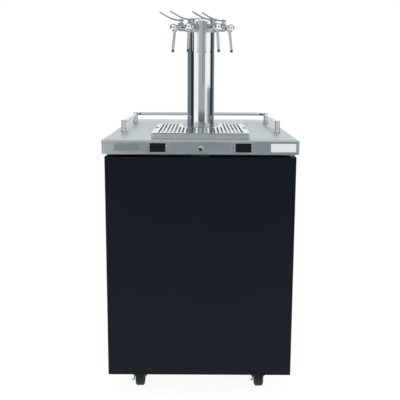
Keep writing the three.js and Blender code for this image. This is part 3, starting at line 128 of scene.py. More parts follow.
class FinishColours(PropertyGroup):
    """Colours of the dispenser's finishes."""

    sheet: colour("Stainless sheet", "Brushed worktop and fascia", "#c0cbcf")
    tray: colour("Tray steel", "Grille and tray", "#e9edef")
    mirror: colour("Polished stainless", "Column and taps", "#f2f4f5")
    enamel: colour("Powder coat", "Door and cabinet", "#050e1a")
    liner: colour("Liner", "Thermoformed keg room and door liner", "#dcdfdf")
    label: colour("Blank plate", "Bare white plate on the fascia", "#f1f4f5")


class TowerSizes(PropertyGroup):
    """Sizes of the column, its cap and its base ring."""

    facets: IntProperty(name="Facets", description="Sides of the round pieces", default=96, min=16)
    wall: length("Wall", "Thickness of the column's tube", 2)
    cap_edge: length("Cap edge", "Radius of the cap's rounded edge", 13.5)
    cap_joint: length("Cap joint", "Chamfers at the joint of cap and column", 0.5)
    cap_lift: length("Cap lift", "Gap between cap and column", 0.2)
    ring_gap: length("Ring gap", "Between the base ring and the column", 0.3)
    ring_chamfer: length("Ring chamfer", "Outer chamfer of the base ring", 1.5)
    ring_edge: length("Ring edge", "Inner chamfer of the base ring", 0.6)
    set_screw: length("Set screw", "Radius of the base ring's set screws", 2.2)
    set_screw_height: length("Set screw height", "Height of a set screw's head", 0.9)
    set_screw_sink: length("Set screw sink", "How far a head starts inside the ring", 0.3)


class TapSizes(PropertyGroup):
    """Sizes of one tap, along its own axis from the middle of the column."""

    saddle: length("Saddle", "Radius of the saddle washer", 14.2)
    saddle_thickness: length("Saddle thickness", "From the column to the collar", 3.5)
    saddle_sink: length("Saddle sink", "How far the saddle reaches into the column", 1.2)
    shank: length("Shank", "How far the shank reaches into the column", 10)
    groove: length("Groove", "Width of the turned grooves", 0.6)
    notches: IntProperty(name="Notches", description="Spanner notches in the collar", default=4, min=0)
    notch: length("Notch", "Width of a spanner notch in the collar", 3.2)
    notch_depth: length("Notch depth", "Depth of a spanner notch", 1.1)
    collar: length("Collar", "Radius of the coupling collar", 13.2)
    collar_length: length("Collar length", "Length of the coupling collar", 11)
    barrel: length("Barrel", "Radius of the barrel", 11.4)
    barrel_end: length("Barrel end", "Where the barrel meets its neck", 88)
    neck: length("Neck", "Radius of the neck", 9)
    ball_reach: length("Ball reach", "From the column's axis to the ball's middle", 108)
    ball: length("Ball", "Radius of the ball", 12.6)
    bonnet: length("Bonnet", "Radius of the bonnet", 8.6)
    bonnet_cap: length("Bonnet cap", "Radius of the bonnet's cap", 10.6)
    bonnet_cap_height: length("Bonnet cap height", "Thickness of the bonnet's cap", 2.6)
    bonnet_height: length("Bonnet height", "From the tap's axis to the bonnet's top", 15.4)
    pivot_height: length("Pivot height", "From the tap's axis to the lever's pivot", 25)
    ear_gap: length("Ear gap", "Between the two ears", 8.4)
    ear: length("Ear", "Thickness of one ear", 2.8)
    ear_radius: length("Ear radius", "Half the width of one ear", 4.2)
    pin: length("Pin", "Radius of the pivot pin", 2)
    pin_play: length("Pin play", "Between the pin and its hole", 0.3)
    rounding: length("Rounding", "Radius of the barrel's turned edges", 0.8)
    screw: length("Flow screw", "Radius of the flow screw on the side", 5.2)
    screw_reach: length("Flow screw reach", "From the column's axis to the flow screw", 95.5)
    screw_proud: length("Flow screw length", "From the tap's axis to the screw's face", 13.6)
    screw_slot: length("Flow screw slot", "Width of the screw's slot", 0.9)
    spout: length("Spout", "Radius of the spout's pipe", 4.4)
    spout_inset: length("Spout inset", "From the ball's middle back to the spout's axis", 6)
    spout_tip: length("Spout tip", "Radius of the spout's tip", 4.8)
    spout_tip_length: length("Spout tip length", "Length of the tip", 6)
    spout_drop: length("Spout drop", "From the tap's axis to the tip's end", 81)
    spout_collar: length("Spout collar", "Radius of the collar under the ball", 6.6)
    spout_collar_drop: length("Spout collar drop", "From the tap's axis to the collar's end", 15)
    spout_bore: length("Spout bore", "Radius of the spout's bore", 3)
    slant: angle("Slant", "Outward slant of the spout", 6.6)
    lever_reach: length("Lever reach", "From the pivot to the paddle's end", 72)
    lever_rise: length("Lever rise", "From the pivot up to the paddle's end", 27)
    lever_thickness: length("Lever thickness", "Thickness of the blade", 5.6)
    lever_neck: length("Lever neck", "Width of the blade at the pivot", 6.2)
    lever_paddle: length("Lever paddle", "Width of the paddle", 14.6)
    lever_hub: length("Lever hub", "Radius of the lever's hub", 4.6)
    cam_offset: length("Cam offset", "From the pivot to the cam's middle", 5)
    cam: length("Cam", "Radius of the cam", 4.4)
    cam_lean: angle("Cam lean", "From straight down to the cam's middle", 75)


class WorktopSizes(PropertyGroup):
    """Sizes of the folded worktop and its openings."""

    sheet: length("Sheet", "Thickness of the sheet", 2)
    bend: length("Bend", "Radius of the bends round the top", 5)
    corner: length("Corner", "Radius of the upright corners", 7)
    controller_inset: length("Controller inset", "From a bezel's edge to its opening", 3.5)
    lock_hole: length("Lock hole", "Radius of the hole for the lock", 8.1)
    throat: length("Throat", "Radius of the hole for the wine lines", 26.3)
    drain_hole: length("Drain hole", "Radius of the hole for the drain", 9.3)
    drain_side: length("Drain side", "From the middle to the drain", 62)
    drain_inset: length("Drain inset", "From the tray's front to the drain", 60)


class RailSizes(PropertyGroup):
    """Sizes of the guard rail."""

    tube: length("Tube", "Radius of the tube", 6.4)
    bend: length("Bend", "Radius of the two rear bends", 42)
    post: length("Post", "Radius of a post", 8.5)
    cap: length("Cap", "Radius of a post's cap", 9.4)
    cap_height: length("Cap height", "Height of a post's cap", 4)
    foot: length("Foot", "Radius of a post's foot", 12)
    foot_height: length("Foot height", "Height of a post's foot", 3)
    rear_post: length("Rear post", "From the front posts to the rear ones", 374)


class CasterSizes(PropertyGroup):
    """Sizes of one caster."""

    wheel: length("Wheel", "Radius of the wheel", 38)
    width: length("Wheel width", "Width of the wheel", 29)
    crown: length("Crown", "Rounding of the tread's shoulders", 6)
    rim: length("Rim", "Radius of the hub's disc", 27)
    hub: length("Hub", "Radius of the hub", 12)
    dish: length("Dish", "Depth of the disc below the tread's side", 3.5)
    bore: length("Bore", "Radius of the wheel's bore", 4.4)


class FasciaSizes(PropertyGroup):
    """Sizes of the controllers and the lock."""

    seat_gap: length("Seat gap", "Between a fitting and the fascia", 0.3)
    window_gap: length("Window gap", "Between a bezel and its window", 0.3)
    window_sink: length("Window sink", "How far a window stands back", 0.3)
    case_inset: length("Case inset", "From a bezel's edge to its case", 4)
    mark: length("Mark", "Radius of a touch mark", 2.3)
    mark_height: length("Mark height", "Thickness of a touch mark", 0.25)
    lock: length("Lock", "Radius of the lock's ring", 9)
    lock_bore: length("Lock bore", "Radius of the ring's bore", 6)
    lock_sleeve: length("Lock sleeve", "Radius of the sleeve behind the ring", 7.8)
    nut: length("Nut", "Corner radius of the nut behind the fascia", 10.5)
    nut_bore: length("Nut bore", "Radius of the nut's bore", 8)
    nut_start: length("Nut start", "From the ring's seat to the nut", 2.3)
    nut_height: length("Nut height", "Thickness of the nut", 4)
    shutter: length("Shutter", "Radius of the shutter in the cylinder", 4.7)
    shutter_thickness: length("Shutter thickness", "Thickness of the shutter", 0.6)
    shutter_sink: length("Shutter sink", "How far the shutter starts behind the cylinder's face", 0.4)
    key_width: length("Key width", "Width of the key slot", 1.2)
    key_height: length("Key height", "Height of the key slot", 6.4)


class TrimSizes(PropertyGroup):
    """Sizes of the rear panel's screws and of the lip in the door's grip."""

    screw: length("Screw", "Radius of a rear screw's head", 4)
    screw_height: length("Screw height", "Height of a rear screw's head", 1.8)
    screw_inset: length("Screw inset", "From the panel's edge to the screws", 12)
    screw_rows: IntProperty(name="Screw rows", description="Screws in each row", default=5, min=2)
    grip_inset: length("Grip inset", "From the door's left edge to the lip", 10.5)
    grip_width: length("Grip width", "Width of the lip", 108)
    lip_setback: length("Lip setback", "From the door's face to the lip", 1.7)
    lip_thickness: length("Lip thickness", "Thickness of the lip", 1.5)
    lip_drop: length("Lip drop", "From the door's top to the lip's foot", 5.5)
    lip_height: length("Lip height", "Height of the lip", 3.7)


class StageSettings(PropertyGroup):
    """Camera and light."""

    lens: FloatProperty(name="Lens", description="Focal length in millimetres", default=53.25, min=10)
    shift_x: FloatProperty(name="Shift X", description="The frame's sideways shift", default=-0.00225)
    shift_y: FloatProperty(name="Shift Y", description="The frame's upward shift", default=-0.1)
    pitch: angle("Pitch", "How far the camera looks down", 8.58)
    roll: angle("Roll", "How far the camera tilts sideways", -0.29)
    distance: length("Distance", "From the object's middle to the camera", 2177)
    height: length("Height", "From the floor to the camera", 1060)
    key_power: FloatProperty(name="Key power", description="Watts of the main lamp", default=26, min=0)
    room_light: FloatProperty(name="Room light", description="Plain light all round", default=0.62)
    floor_glow: FloatProperty(name="Floor glow", description="Brightness of the white floor", default=1.08)
    floor_share: FloatProperty(name="Floor share", description="Share of the glow to the eye", default=0.86)
    card_distance: length("Card distance", "From the tower to the cards", 3200)
    ceiling: length("Ceiling", "Height of the card over the tower", 3400)


SETTINGS = {
    "finish_colours": FinishColours,
    "tower_sizes": TowerSizes,
    "tap_sizes": TapSizes,
    "worktop_sizes": WorktopSizes,
    "rail_sizes": RailSizes,
    "fascia_sizes": FasciaSizes,
    "caster_sizes": CasterSizes,
    "trim_sizes": TrimSizes,
    "stage_settings": StageSettings,
}


# Materials


def linear(shares):
    """sRGB shares as linear light, with full alpha."""
    return (*(s / 12.92 if s <= 0.04045 else ((s + 0.055) / 1.055) ** 2.4 for s in shares), 1)


def add_node(tree, kind, links=None, **settings):
    """Adds a node: settings name its properties or its sockets, links map a socket to an output."""
    made = tree.nodes.new(kind)
    for name, value in settings.items():
        if hasattr(made, name):
            setattr(made, name, value)
        else:
            made.inputs[name.replace("_", " ")].default_value = value
    for socket, output in (links or {}).items():
        tree.links.new(output, made.inputs[socket])
    return made


def surface(name, **settings):
    """A new material with its tree, its shader and the piece's own coordinates."""
    material = bpy.data.materials.new(name)
    material.use_nodes = True
    tree = material.node_tree
    shader = tree.nodes["Principled BSDF"]
    for socket, value in settings.items():
        shader.inputs[socket.replace("_", " ")].default_value = value
    place = add_node(tree, "ShaderNodeTexCoord").outputs["Object"]
    return material, tree, shader, place


EVEN = (1, 1, 1)
GRAIN_ALONG_X = (0.012, 1, 1)
GRAIN_ALONG_Y = (1, 0.012, 1)
GRAIN_ALONG_Z = (1, 1, 0.05)
# The part of its range that noise mostly fills
NOISE_RANGE = {"From_Min": 0.3, "From_Max": 0.7}


def patterned(tree, place, cell_mm, stretch=EVEN, detail=3.0):
    """Noise on the piece's own coordinates, by the size of its cells and a share of that along each axis."""
    mapped = add_node(tree, "ShaderNodeMapping", {"Vector": place}, Scale=stretch).outputs["Vector"]
    scale = 1 / (cell_mm * MM)
    noise = add_node(tree, "ShaderNodeTexNoise", {"Vector": mapped}, Scale=scale, Detail=detail)
    return noise.outputs["Fac"]


def shaded(shares, factor):
    """A colour made darker or lighter by a factor."""
    return tuple(min(1.0, s * factor) for s in shares)


def toned(tree, pattern, dark, light):
    """A colour that runs between two by a pattern."""
    share = add_node(tree, "ShaderNodeMapRange", {"Value": pattern}, **NOISE_RANGE)
    ramp = add_node(tree, "ShaderNodeValToRGB", {"Fac": share.outputs["Result"]})
    for element, shares in zip(ramp.color_ramp.elements, (dark, light)):
        element.color = linear(shares)
    return ramp.outputs["Color"]


def connect(tree, shader, tone, pattern, smoothest, roughest, relief=None, strength=0.0, depth_mm=0.05):
    """Gives the shader its colour, a roughness that runs between two by a pattern, and a relief."""
    tree.links.new(tone, shader.inputs["Base Color"])
    limits = {**NOISE_RANGE, "To_Min": smoothest, "To_Max": roughest}
    rough = add_node(tree, "ShaderNodeMapRange", {"Value": pattern}, **limits).outputs["Result"]
    tree.links.new(rough, shader.inputs["Roughness"])
    if relief:
        settings = {"Strength": strength, "Distance": depth_mm * MM}
        bump = add_node(tree, "ShaderNodeBump", {"Height": relief}, **settings)
        tree.links.new(bump.outputs["Normal"], shader.inputs["Normal"])
    return rough


def brushed_metal(name, grain, base, rough=0.34, spacing_mm=1.1):
    """Cold-rolled sheet with a 180-grit grain: short parallel scratches that smear the reflections.

    The real grain is near 0.2 mm apart, too fine to show, so it is drawn about a millimetre apart.
    """
    material, tree, shader, place = surface(name, Metallic=1.0)
    lines = patterned(tree, place, spacing_mm, grain, 2.0)
    tone = toned(tree, lines, shaded(base, 0.965), shaded(base, 1.02))
    by_line = connect(tree, shader, tone, lines, rough - 0.05, rough + 0.05, lines, 0.12)
    # Over that, the sheet is a little duller in some places than in others
    limits = {**NOISE_RANGE, "To_Min": -0.03, "To_Max": 0.03}
    clouds = add_node(tree, "ShaderNodeMapRange", {"Value": patterned(tree, place, 142.86)}, **limits)
    total = add_node(tree, "ShaderNodeMath", {0: by_line, 1: clouds.outputs["Result"]})
    tree.links.new(total.outputs[0], shader.inputs["Roughness"])
    return material


def polished_stainless(name, base, rough=0.07):
    """Buffed 304 tube and castings: near mirror, with the faint cloudiness that the buffing wheel leaves."""
    material, tree, shader, place = surface(name, Metallic=1.0)
    clouds = patterned(tree, place, 35.714, (1, 1, 0.35))
    swirls = patterned(tree, place, 1.1111, (1, 1, 0.08), 2.0)
    tone = toned(tree, clouds, shaded(base, 0.97), base)
    connect(tree, shader, tone, clouds, rough * 0.7, rough * 1.4, swirls, 0.03, 0.02)
    return material


def powder_coat(name, base, texture_mm=0.9, rough=0.42):
    """Polyester powder coat on steel: an even fine orange peel that breaks the reflections up."""
    material, tree, shader, place = surface(name, Metallic=0.0, IOR=1.5, Specular_IOR_Level=0.17)
    peel = patterned(tree, place, texture_mm, EVEN, 1.0)
    clouds = patterned(tree, place, 250)
    tone = toned(tree, clouds, shaded(base, 0.94), shaded(base, 1.06))
    connect(tree, shader, tone, clouds, rough - 0.03, rough + 0.03, peel, 0.18, 0.06)
    return material


def moulded_plastic(name, base, rough=0.5, texture_mm=0.7, relief=0.15):
    """ABS or nylon from a spark-eroded mould: matt, with a fine even texture."""
    material, tree, shader, place = surface(name, Metallic=0.0, IOR=1.46)
    texture = patterned(tree, place, texture_mm, EVEN, 2.0)
    tone = toned(tree, patterned(tree, place, 111.11), shaded(base, 0.98), shaded(base, 1.015))
    connect(tree, shader, tone, texture, rough - 0.05, rough + 0.05, texture, relief)
    return material


def zinc_plate(name, base):
    """Bright zinc-plated pressed steel: a soft metal sheen with a mottled, slightly blue passivation."""
    material, tree, shader, place = surface(name, Metallic=1.0)
    mottle = patterned(tree, place, 3.125)
    tone = toned(tree, mottle, shaded(base, 0.9), shaded(base, 1.03))
    connect(tree, shader, tone, mottle, 0.28, 0.42)
    return material


def smoked_window(name, dark, light):
    """Smoked acrylic over a dark display: deep and glossy, with a hint of dust haze."""
    material, tree, shader, place = surface(name, Metallic=0.0, IOR=1.49)
    haze = patterned(tree, place, 6.25)
    connect(tree, shader, toned(tree, haze, dark, light), haze, 0.1, 0.2)
    return material


def make_materials(colours):
    """Every finish of the dispenser, by name."""
    sheet, tray = tuple(colours.sheet), tuple(colours.tray)
    mirror, enamel = tuple(colours.mirror), tuple(colours.enamel)
    made = {
        "sheet_x": brushed_metal("brushed_stainless_across", GRAIN_ALONG_X, sheet),
        "tray_x": brushed_metal("tray_stainless_across", GRAIN_ALONG_X, tray, 0.42),
        "tray_y": brushed_metal("tray_stainless_lengthwise", GRAIN_ALONG_Y, tray, 0.22),
        "etched": brushed_metal("etched_stainless", GRAIN_ALONG_X, shaded(sheet, 0.82), 0.5, 0.8),
        "fins": brushed_metal("mill_finish_aluminium", GRAIN_ALONG_Z, srgb("#babdbe"), 0.4, 0.8),
        "rail": polished_stainless("satin_tube_stainless", tray, 0.3),
        "mirror": polished_stainless("polished_stainless", mirror),
        # The barrel's steel is a darker copy of the polished steel: painted shade
        "casting": polished_stainless("buffed_casting_stainless", shaded(mirror, 0.8), 0.14),
        "spout": polished_stainless("drawn_spout_stainless", shaded(mirror, 0.94), 0.24),
        # The lever's steel is a darker copy of the polished steel: painted shade
        "lever": polished_stainless("forged_lever_stainless", shaded(mirror, 0.66), 0.16),
        "enamel": powder_coat("powder_coated_steel", enamel),
        "zinc": zinc_plate("zinc_plated_steel", srgb("#c9ccce")),
        "strike": zinc_plate("black_passivated_steel", srgb("#4d4b52")),
        "screw": zinc_plate("passivated_screw_steel", srgb("#a9adb0")),
        "window": smoked_window("smoked_acrylic", srgb("#0d1218"), srgb("#131a22")),
    }
    # Plastics, rubbers and inks: roughness, texture in millimetres and how strongly it stands out
    for finish, name, base, *texture in (
        ("liner", "thermoformed_liner", tuple(colours.liner), 0.42, 3.0, 0.05),
        ("label", "printed_blank_plate", tuple(colours.label), 0.3, 1.0, 0.03),
        ("plastic", "moulded_black_nylon", srgb("#121519")),
        ("nozzle", "moulded_grey_nozzle", srgb("#4c4f51"), 0.45),
        ("tyre", "moulded_polyurethane_tread", srgb("#15181b"), 0.62, 0.9, 0.3),
        ("seal", "extruded_vinyl_seal", srgb("#17191c"), 0.55, 1.5, 0.1),
        ("marks", "screened_ink", srgb("#6b7579"), 0.55, 0.5, 0.05),
        ("foam", "closed_cell_foam", srgb("#3b3e40"), 0.9, 2.0, 0.5),
    ):
        made[finish] = moulded_plastic(name, base, *texture)
    return made


MATERIALS = {}


# Modelling by hand

LYING_ALONG_X = Matrix.Rotation(math.pi / 2, 4, "Y")
LYING_ALONG_Y = Matrix.Rotation(math.pi / 2, 4, "X")
# The share of a direction along an axis above which it counts as lying along it, or below as across
ALONG, ACROSS, ALMOST_LEVEL = 0.9, 0.1, 0.02


def clear_selection():
    """Leaves edit mode, and selects nothing."""
    if bpy.context.mode != "OBJECT":
        bpy.ops.object.mode_set(mode="OBJECT")
    bpy.ops.object.select_all(action="DESELECT")


def take(piece):
    """Selects one piece and makes it the active one."""
    clear_selection()
    piece.select_set(True)
    bpy.context.view_layer.objects.active = piece
    return piece


def begin(name):
    """Names the primitive that was just added, applies its place, and opens it in edit mode, all selected."""
    piece = bpy.context.object
    bpy.ops.object.transform_apply()
    piece.name = piece.data.name = name
    bpy.ops.object.mode_set(mode="EDIT")
    bpy.ops.mesh.select_mode(type="VERT")
    bpy.ops.mesh.select_all(action="SELECT")
    return piece


def smooth(degrees=35):
    """Shades the active piece smooth, apart from edges that are sharper than this."""
    bpy.ops.object.shade_smooth_by_angle(angle=math.radians(degrees))


def end(piece, matrix=None, smooth_degrees=35):
    """Closes edit mode, turns the faces outwards, moves the piece into place and smooths it."""
    if bpy.context.mode != "EDIT_MESH":
        take(piece)
        bpy.ops.object.mode_set(mode="EDIT")
    bpy.ops.mesh.select_all(action="SELECT")
    bpy.ops.mesh.remove_doubles(threshold=MERGE_DISTANCE)
    bpy.ops.mesh.normals_make_consistent(inside=False)
    take(piece)
    if matrix is not None:
        piece.matrix_world = matrix @ piece.matrix_world
    bpy.ops.object.transform_apply()
    smooth(smooth_degrees)
    return piece


def choose(test, kind="faces"):
    """In edit mode, selects only the faces or edges whose place and direction pass a test."""
    bpy.ops.mesh.select_all(action="DESELECT")
    bpy.ops.mesh.select_mode(type="FACE" if kind == "faces" else "EDGE")
    mesh = bmesh.from_edit_mesh(bpy.context.object.data)
    for item in getattr(mesh, kind):
        if kind == "faces":
            passed = test(item.calc_center_median(), item.normal)
        else:
            start, finish = (v.co for v in item.verts)
            passed = test((start + finish) / 2, (finish - start).normalized())
        if passed:
            item.select_set(True)
    mesh.select_flush_mode()
    bmesh.update_edit_mesh(bpy.context.object.data)


def extrude(x=0.0, y=0.0, z=0.0):
    """In edit mode, extrudes the selection by a step."""
    bpy.ops.mesh.extrude_region_move(TRANSFORM_OT_translate={"value": (x, y, z)})


def modify(piece, kind, **settings):
    """Gives a piece a modifier, and applies it."""
    take(piece)
    modifier = piece.modifiers.new(kind.lower(), kind)
    for name, value in settings.items():
        setattr(modifier, name, value)
    bpy.ops.object.modifier_apply(modifier=modifier.name)
    return piece


def soften(piece, width, segments=2):
    """Rounds a piece's sharp edges."""
    sharp = {"limit_method": "ANGLE", "angle_limit": math.radians(30)}
    modify(piece, "BEVEL", width=width, segments=segments, **sharp)
    smooth()
    return piece


def discard(*pieces):
    """Removes the patterns and cutters that are done with."""
    for piece in pieces:
        bpy.data.objects.remove(piece)


def carve(piece, *cutters):
    """Cuts the cutters out of a piece, and removes them."""
    for cutter in cutters:
        modify(piece, "BOOLEAN", operation="DIFFERENCE", solver="EXACT", object=cutter)
    discard(*cutters)
    return take(piece)


def unite(name, *pieces):
    """Joins separate shells into one object."""
    clear_selection()
    for piece in pieces:
        piece.select_set(True)
    bpy.context.view_layer.objects.active = pieces[0]
    if len(pieces) > 1:
        bpy.ops.object.join()
    whole = bpy.context.object
    whole.name = whole.data.name = name
    return whole


def copied(piece, name, matrix):
    """A copy with its own mesh, moved by a matrix."""
    take(piece)
    bpy.ops.object.duplicate(linked=False)
    copy = bpy.context.object
    copy.name = copy.data.name = name
    copy.matrix_world = matrix @ copy.matrix_world
    bpy.ops.object.transform_apply()
    return copy


def dress(piece, material, body, slot, *replaced):
    """Gives a finished piece its material and its body, and hides the packed nodes that it stands for; the slot is
    not used.
    """
    piece.data.materials.clear()
    piece.data.materials.append(MATERIALS[material])
    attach(piece, body)
    if replaced:
        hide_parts(*replaced)
    return piece


def fixed(piece, material, slot, *replaced):
    """Dresses a piece that stays on the cabinet."""
    return dress(piece, material, "cabinet", slot, *replaced)


def disc(radius, foot, top):
    """The profile of a plain round bar."""
    return [(0, foot), (radius, foot), (radius, top), (0, top)]


def sleeve(bore, radius, foot, top):
    """The profile of a plain tube."""
    return [(bore, foot), (radius, foot), (radius, top), (bore, top), (bore, foot)]


def mirrored(upper):
    """The mirror image of a profile below height zero, and then the profile."""
    return [*((radius, -z) for radius, z in reversed(upper)), *upper]


def turned(name, profile, sides=48, matrix=None, smooth_degrees=35):
    """A ring that is extruded and scaled up a profile of radius and height, as on a lathe along Z.

    A profile that ends where it starts makes a tube, and end() merges its first ring with its last.
    """
    clear_selection()
    is_tube = profile[0] == profile[-1]
    rings = profile[1:] if profile[0][0] == 0 else profile
    (radius, height), *_ = rings
    fill = "NOTHING" if is_tube else "TRIFAN"
    bpy.ops.mesh.primitive_circle_add(vertices=sides, radius=radius, fill_type=fill, location=(0, 0, height))
    piece = begin(name)
    # Each step takes a copy of the fan that closes the foot with it, so the top is closed as well
    for (r0, z0), (r1, z1) in pairwise(rings):
        if r1 == 0 and z1 == z0:
            break
        extrude(z=z1 - z0)
        if r1 == 0:
            bpy.ops.mesh.merge(type="CENTER")
        elif r1 != r0:
            bpy.ops.transform.resize(value=(r1 / r0, r1 / r0, 1), center_override=(0, 0, z1))
    return end(piece, matrix, smooth_degrees)


def block(name, low, high):
    """A cube scaled to two corners, left open in edit mode."""
    clear_selection()
    low, high = Vector(low), Vector(high)
    bpy.ops.mesh.primitive_cube_add(size=1, location=(low + high) / 2, scale=high - low)
    return begin(name)


def boxed(name, low, high, edge=0.0, segments=2, matrix=None):
    """A block with softened edges."""
    piece = end(block(name, low, high), matrix)
    if edge:
        soften(piece, edge, segments)
    return piece


def inset(low, high, margin, front, back):
    """The corners of an upright box that is smaller by a margin all round, from one depth to another."""
    return (low.x + margin, front, low.z + margin), (high.x - margin, back, high.z - margin)


def arc(middle_r, middle_z, radius, start, finish, steps):
    """Profile points round part of a circle, angles in degrees from the outward direction."""
    points = []
    for i in range(steps + 1):
        turn = math.radians(start + (finish - start) * i / steps)
        points.append((middle_r + radius * math.cos(turn), middle_z + radius * math.sin(turn)))
    return points


def rounded(profile, radius, steps=2):
    """A profile whose corners are replaced by small arcs, apart from those that are nearly straight."""
    smallest, straight, sharing = 0.02 * MM, math.radians(172), 2.2
    made = [profile[0]]
    for before, corner, after in zip(profile, profile[1:], profile[2:]):
        a, c, b = Vector(before), Vector(corner), Vector(after)
        to_a, to_b = a - c, b - c
        reach = min(radius, to_a.length / sharing, to_b.length / sharing)
        if corner[0] == 0 or reach < smallest or to_a.angle(to_b) > straight:
            made.append(corner)
            continue
        start, finish = c + to_a.normalized() * reach, c + to_b.normalized() * reach
        for i in range(steps + 1):
            t = i / steps
            made.append(tuple(start * (1 - t) ** 2 + c * 2 * t * (1 - t) + finish * t**2))
    made.append(profile[-1])
    return made


def along(start, direction):
    """A matrix that puts the origin at a point, and local Z along a direction."""
    turn = Vector(direction).to_track_quat("Z", "Y").to_matrix().to_4x4()
    return Matrix.Translation(start) @ turn


def screw_head(name, place, outward, radius, height):
    """A pan-head screw with a cross recess."""
    rim, shoulder, crown = height * 0.35, height * 0.8, radius * 0.45
    profile = [(0, 0), (radius, 0), (radius, rim), (radius * 0.82, shoulder), (crown, height), (0, height)]
    head = turned(name, profile, sides=24)
    reach, width, floor = radius * 0.55, radius * 0.13, height * 0.45
    for turn in (0, math.pi / 2):
        corners = (-reach, -width, floor), (reach, width, height * 1.6)
        carve(head, boxed("slot", *corners, matrix=Matrix.Rotation(turn, 4, "Z")))
    return end(head, along(place, outward), smooth_degrees=30)


# Operators


class Step:
    """The options that every operator here shares."""

    bl_options = {"REGISTER", "UNDO"}


class DISPENSER_OT_finishes(Step, Operator):
    """Make the finishes and give them to the packed pieces"""

    bl_idname = "dispenser.finishes"
    bl_label = "Finishes"

    by_slot = {
        "satin_steel": "sheet_x",
        "polished_steel": "mirror",
        "zinc_steel": "zinc",
        "black_enamel": "enamel",
        "black_plastic": "plastic",
        "wheel_rubber": "tyre",
        "gasket_rubber": "seal",
        "pale_liner": "liner",
        "dark_window": "window",
        "line_foam": "foam",
        "bare_aluminium": "fins",
    }
    by_node = {"drip_tray_grille": "tray_y", "drip_tray_pan": "tray_x", "door_strike": "strike"}

    def execute(self, context):
        MATERIALS.update(make_materials(context.scene.finish_colours))
        for row in frame["record"]["subparts"]:
            piece = frame["nodes"][row["node"]]
            finish = self.by_node.get(row["node"], self.by_slot[row["material_slot"]])
            piece.data.materials.clear()
            piece.data.materials.append(MATERIALS[finish])
        return {"FINISHED"}


class DISPENSER_OT_tower(Step, Operator):
    """Turn the column, its cap and its base ring"""

    bl_idname = "dispenser.tower"
    bl_label = "Tower"

    set_screw_angles = (-150, -30, 90)

    def execute(self, context):
        s = context.scene.tower_sizes
        place = Matrix.Translation((TOWER_MIDDLE.x, TOWER_MIDDLE.y, 0))
        for name, node, profile in (
            ("tower_shell", "tower_column", self.column(s)),
            ("tower_dome", "tower_cap", self.cap(s)),
            ("tower_base_ring", "tower_flange", self.ring(s)),
        ):
            fixed(turned(name, profile, sides=s.facets, matrix=place), "mirror", "polished_steel", node)
        low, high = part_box("tower_flange")
        screws = []
        for degrees in self.set_screw_angles:
            turn = math.radians(degrees)
            outward = Vector((math.cos(turn), math.sin(turn), 0))
            at = Vector((TOWER_MIDDLE.x, TOWER_MIDDLE.y, (low.z + high.z) / 2))
            at += outward * ((high.x - low.x) / 2 - s.set_screw_sink)
            screws.append(screw_head("ring_screw", at, outward, s.set_screw, s.set_screw_height))
        fixed(unite("tower_ring_screws", *screws), "screw", "zinc_steel")
        return {"FINISHED"}

    @staticmethod
    def column(s):
        """The tube, with a chamfer where the cap sits."""
        foot, top = COLUMN_LOW.z, COLUMN_HIGH.z
        inner, edge = COLUMN_RADIUS - s.wall, s.cap_joint
        outside = [(COLUMN_RADIUS, foot), (COLUMN_RADIUS, top - edge), (COLUMN_RADIUS - edge, top)]
        return [(inner, foot), *outside, (inner, top), (inner, foot)]

    @staticmethod
    def cap(s):
        """The plug in the tube, and the round-edged cap on it."""
        low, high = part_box("tower_cap")
        foot, edge = COLUMN_HIGH.z + s.cap_lift, s.cap_joint
        dome = arc(COLUMN_RADIUS - s.cap_edge, high.z - s.cap_edge, s.cap_edge, 0, 90, 12)
        plug = COLUMN_RADIUS - s.wall - edge
        rim = [(COLUMN_RADIUS - edge, foot), (COLUMN_RADIUS, foot + edge)]
        return [(0, low.z), (plug, low.z), (plug, foot), *rim, *dome, (0, high.z)]

    @staticmethod
    def ring(s):
        """The base ring, chamfered outside and a little inside."""
        low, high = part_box("tower_flange")
        outer, inner = (high.x - low.x) / 2, COLUMN_RADIUS + s.ring_gap
        outside = [(outer, low.z), (outer, high.z - s.ring_chamfer), (outer - s.ring_chamfer, high.z)]
        inside = [(inner + s.ring_edge, high.z), (inner, high.z - s.ring_edge), (inner, low.z)]
        return [(inner, low.z), *outside, *inside]


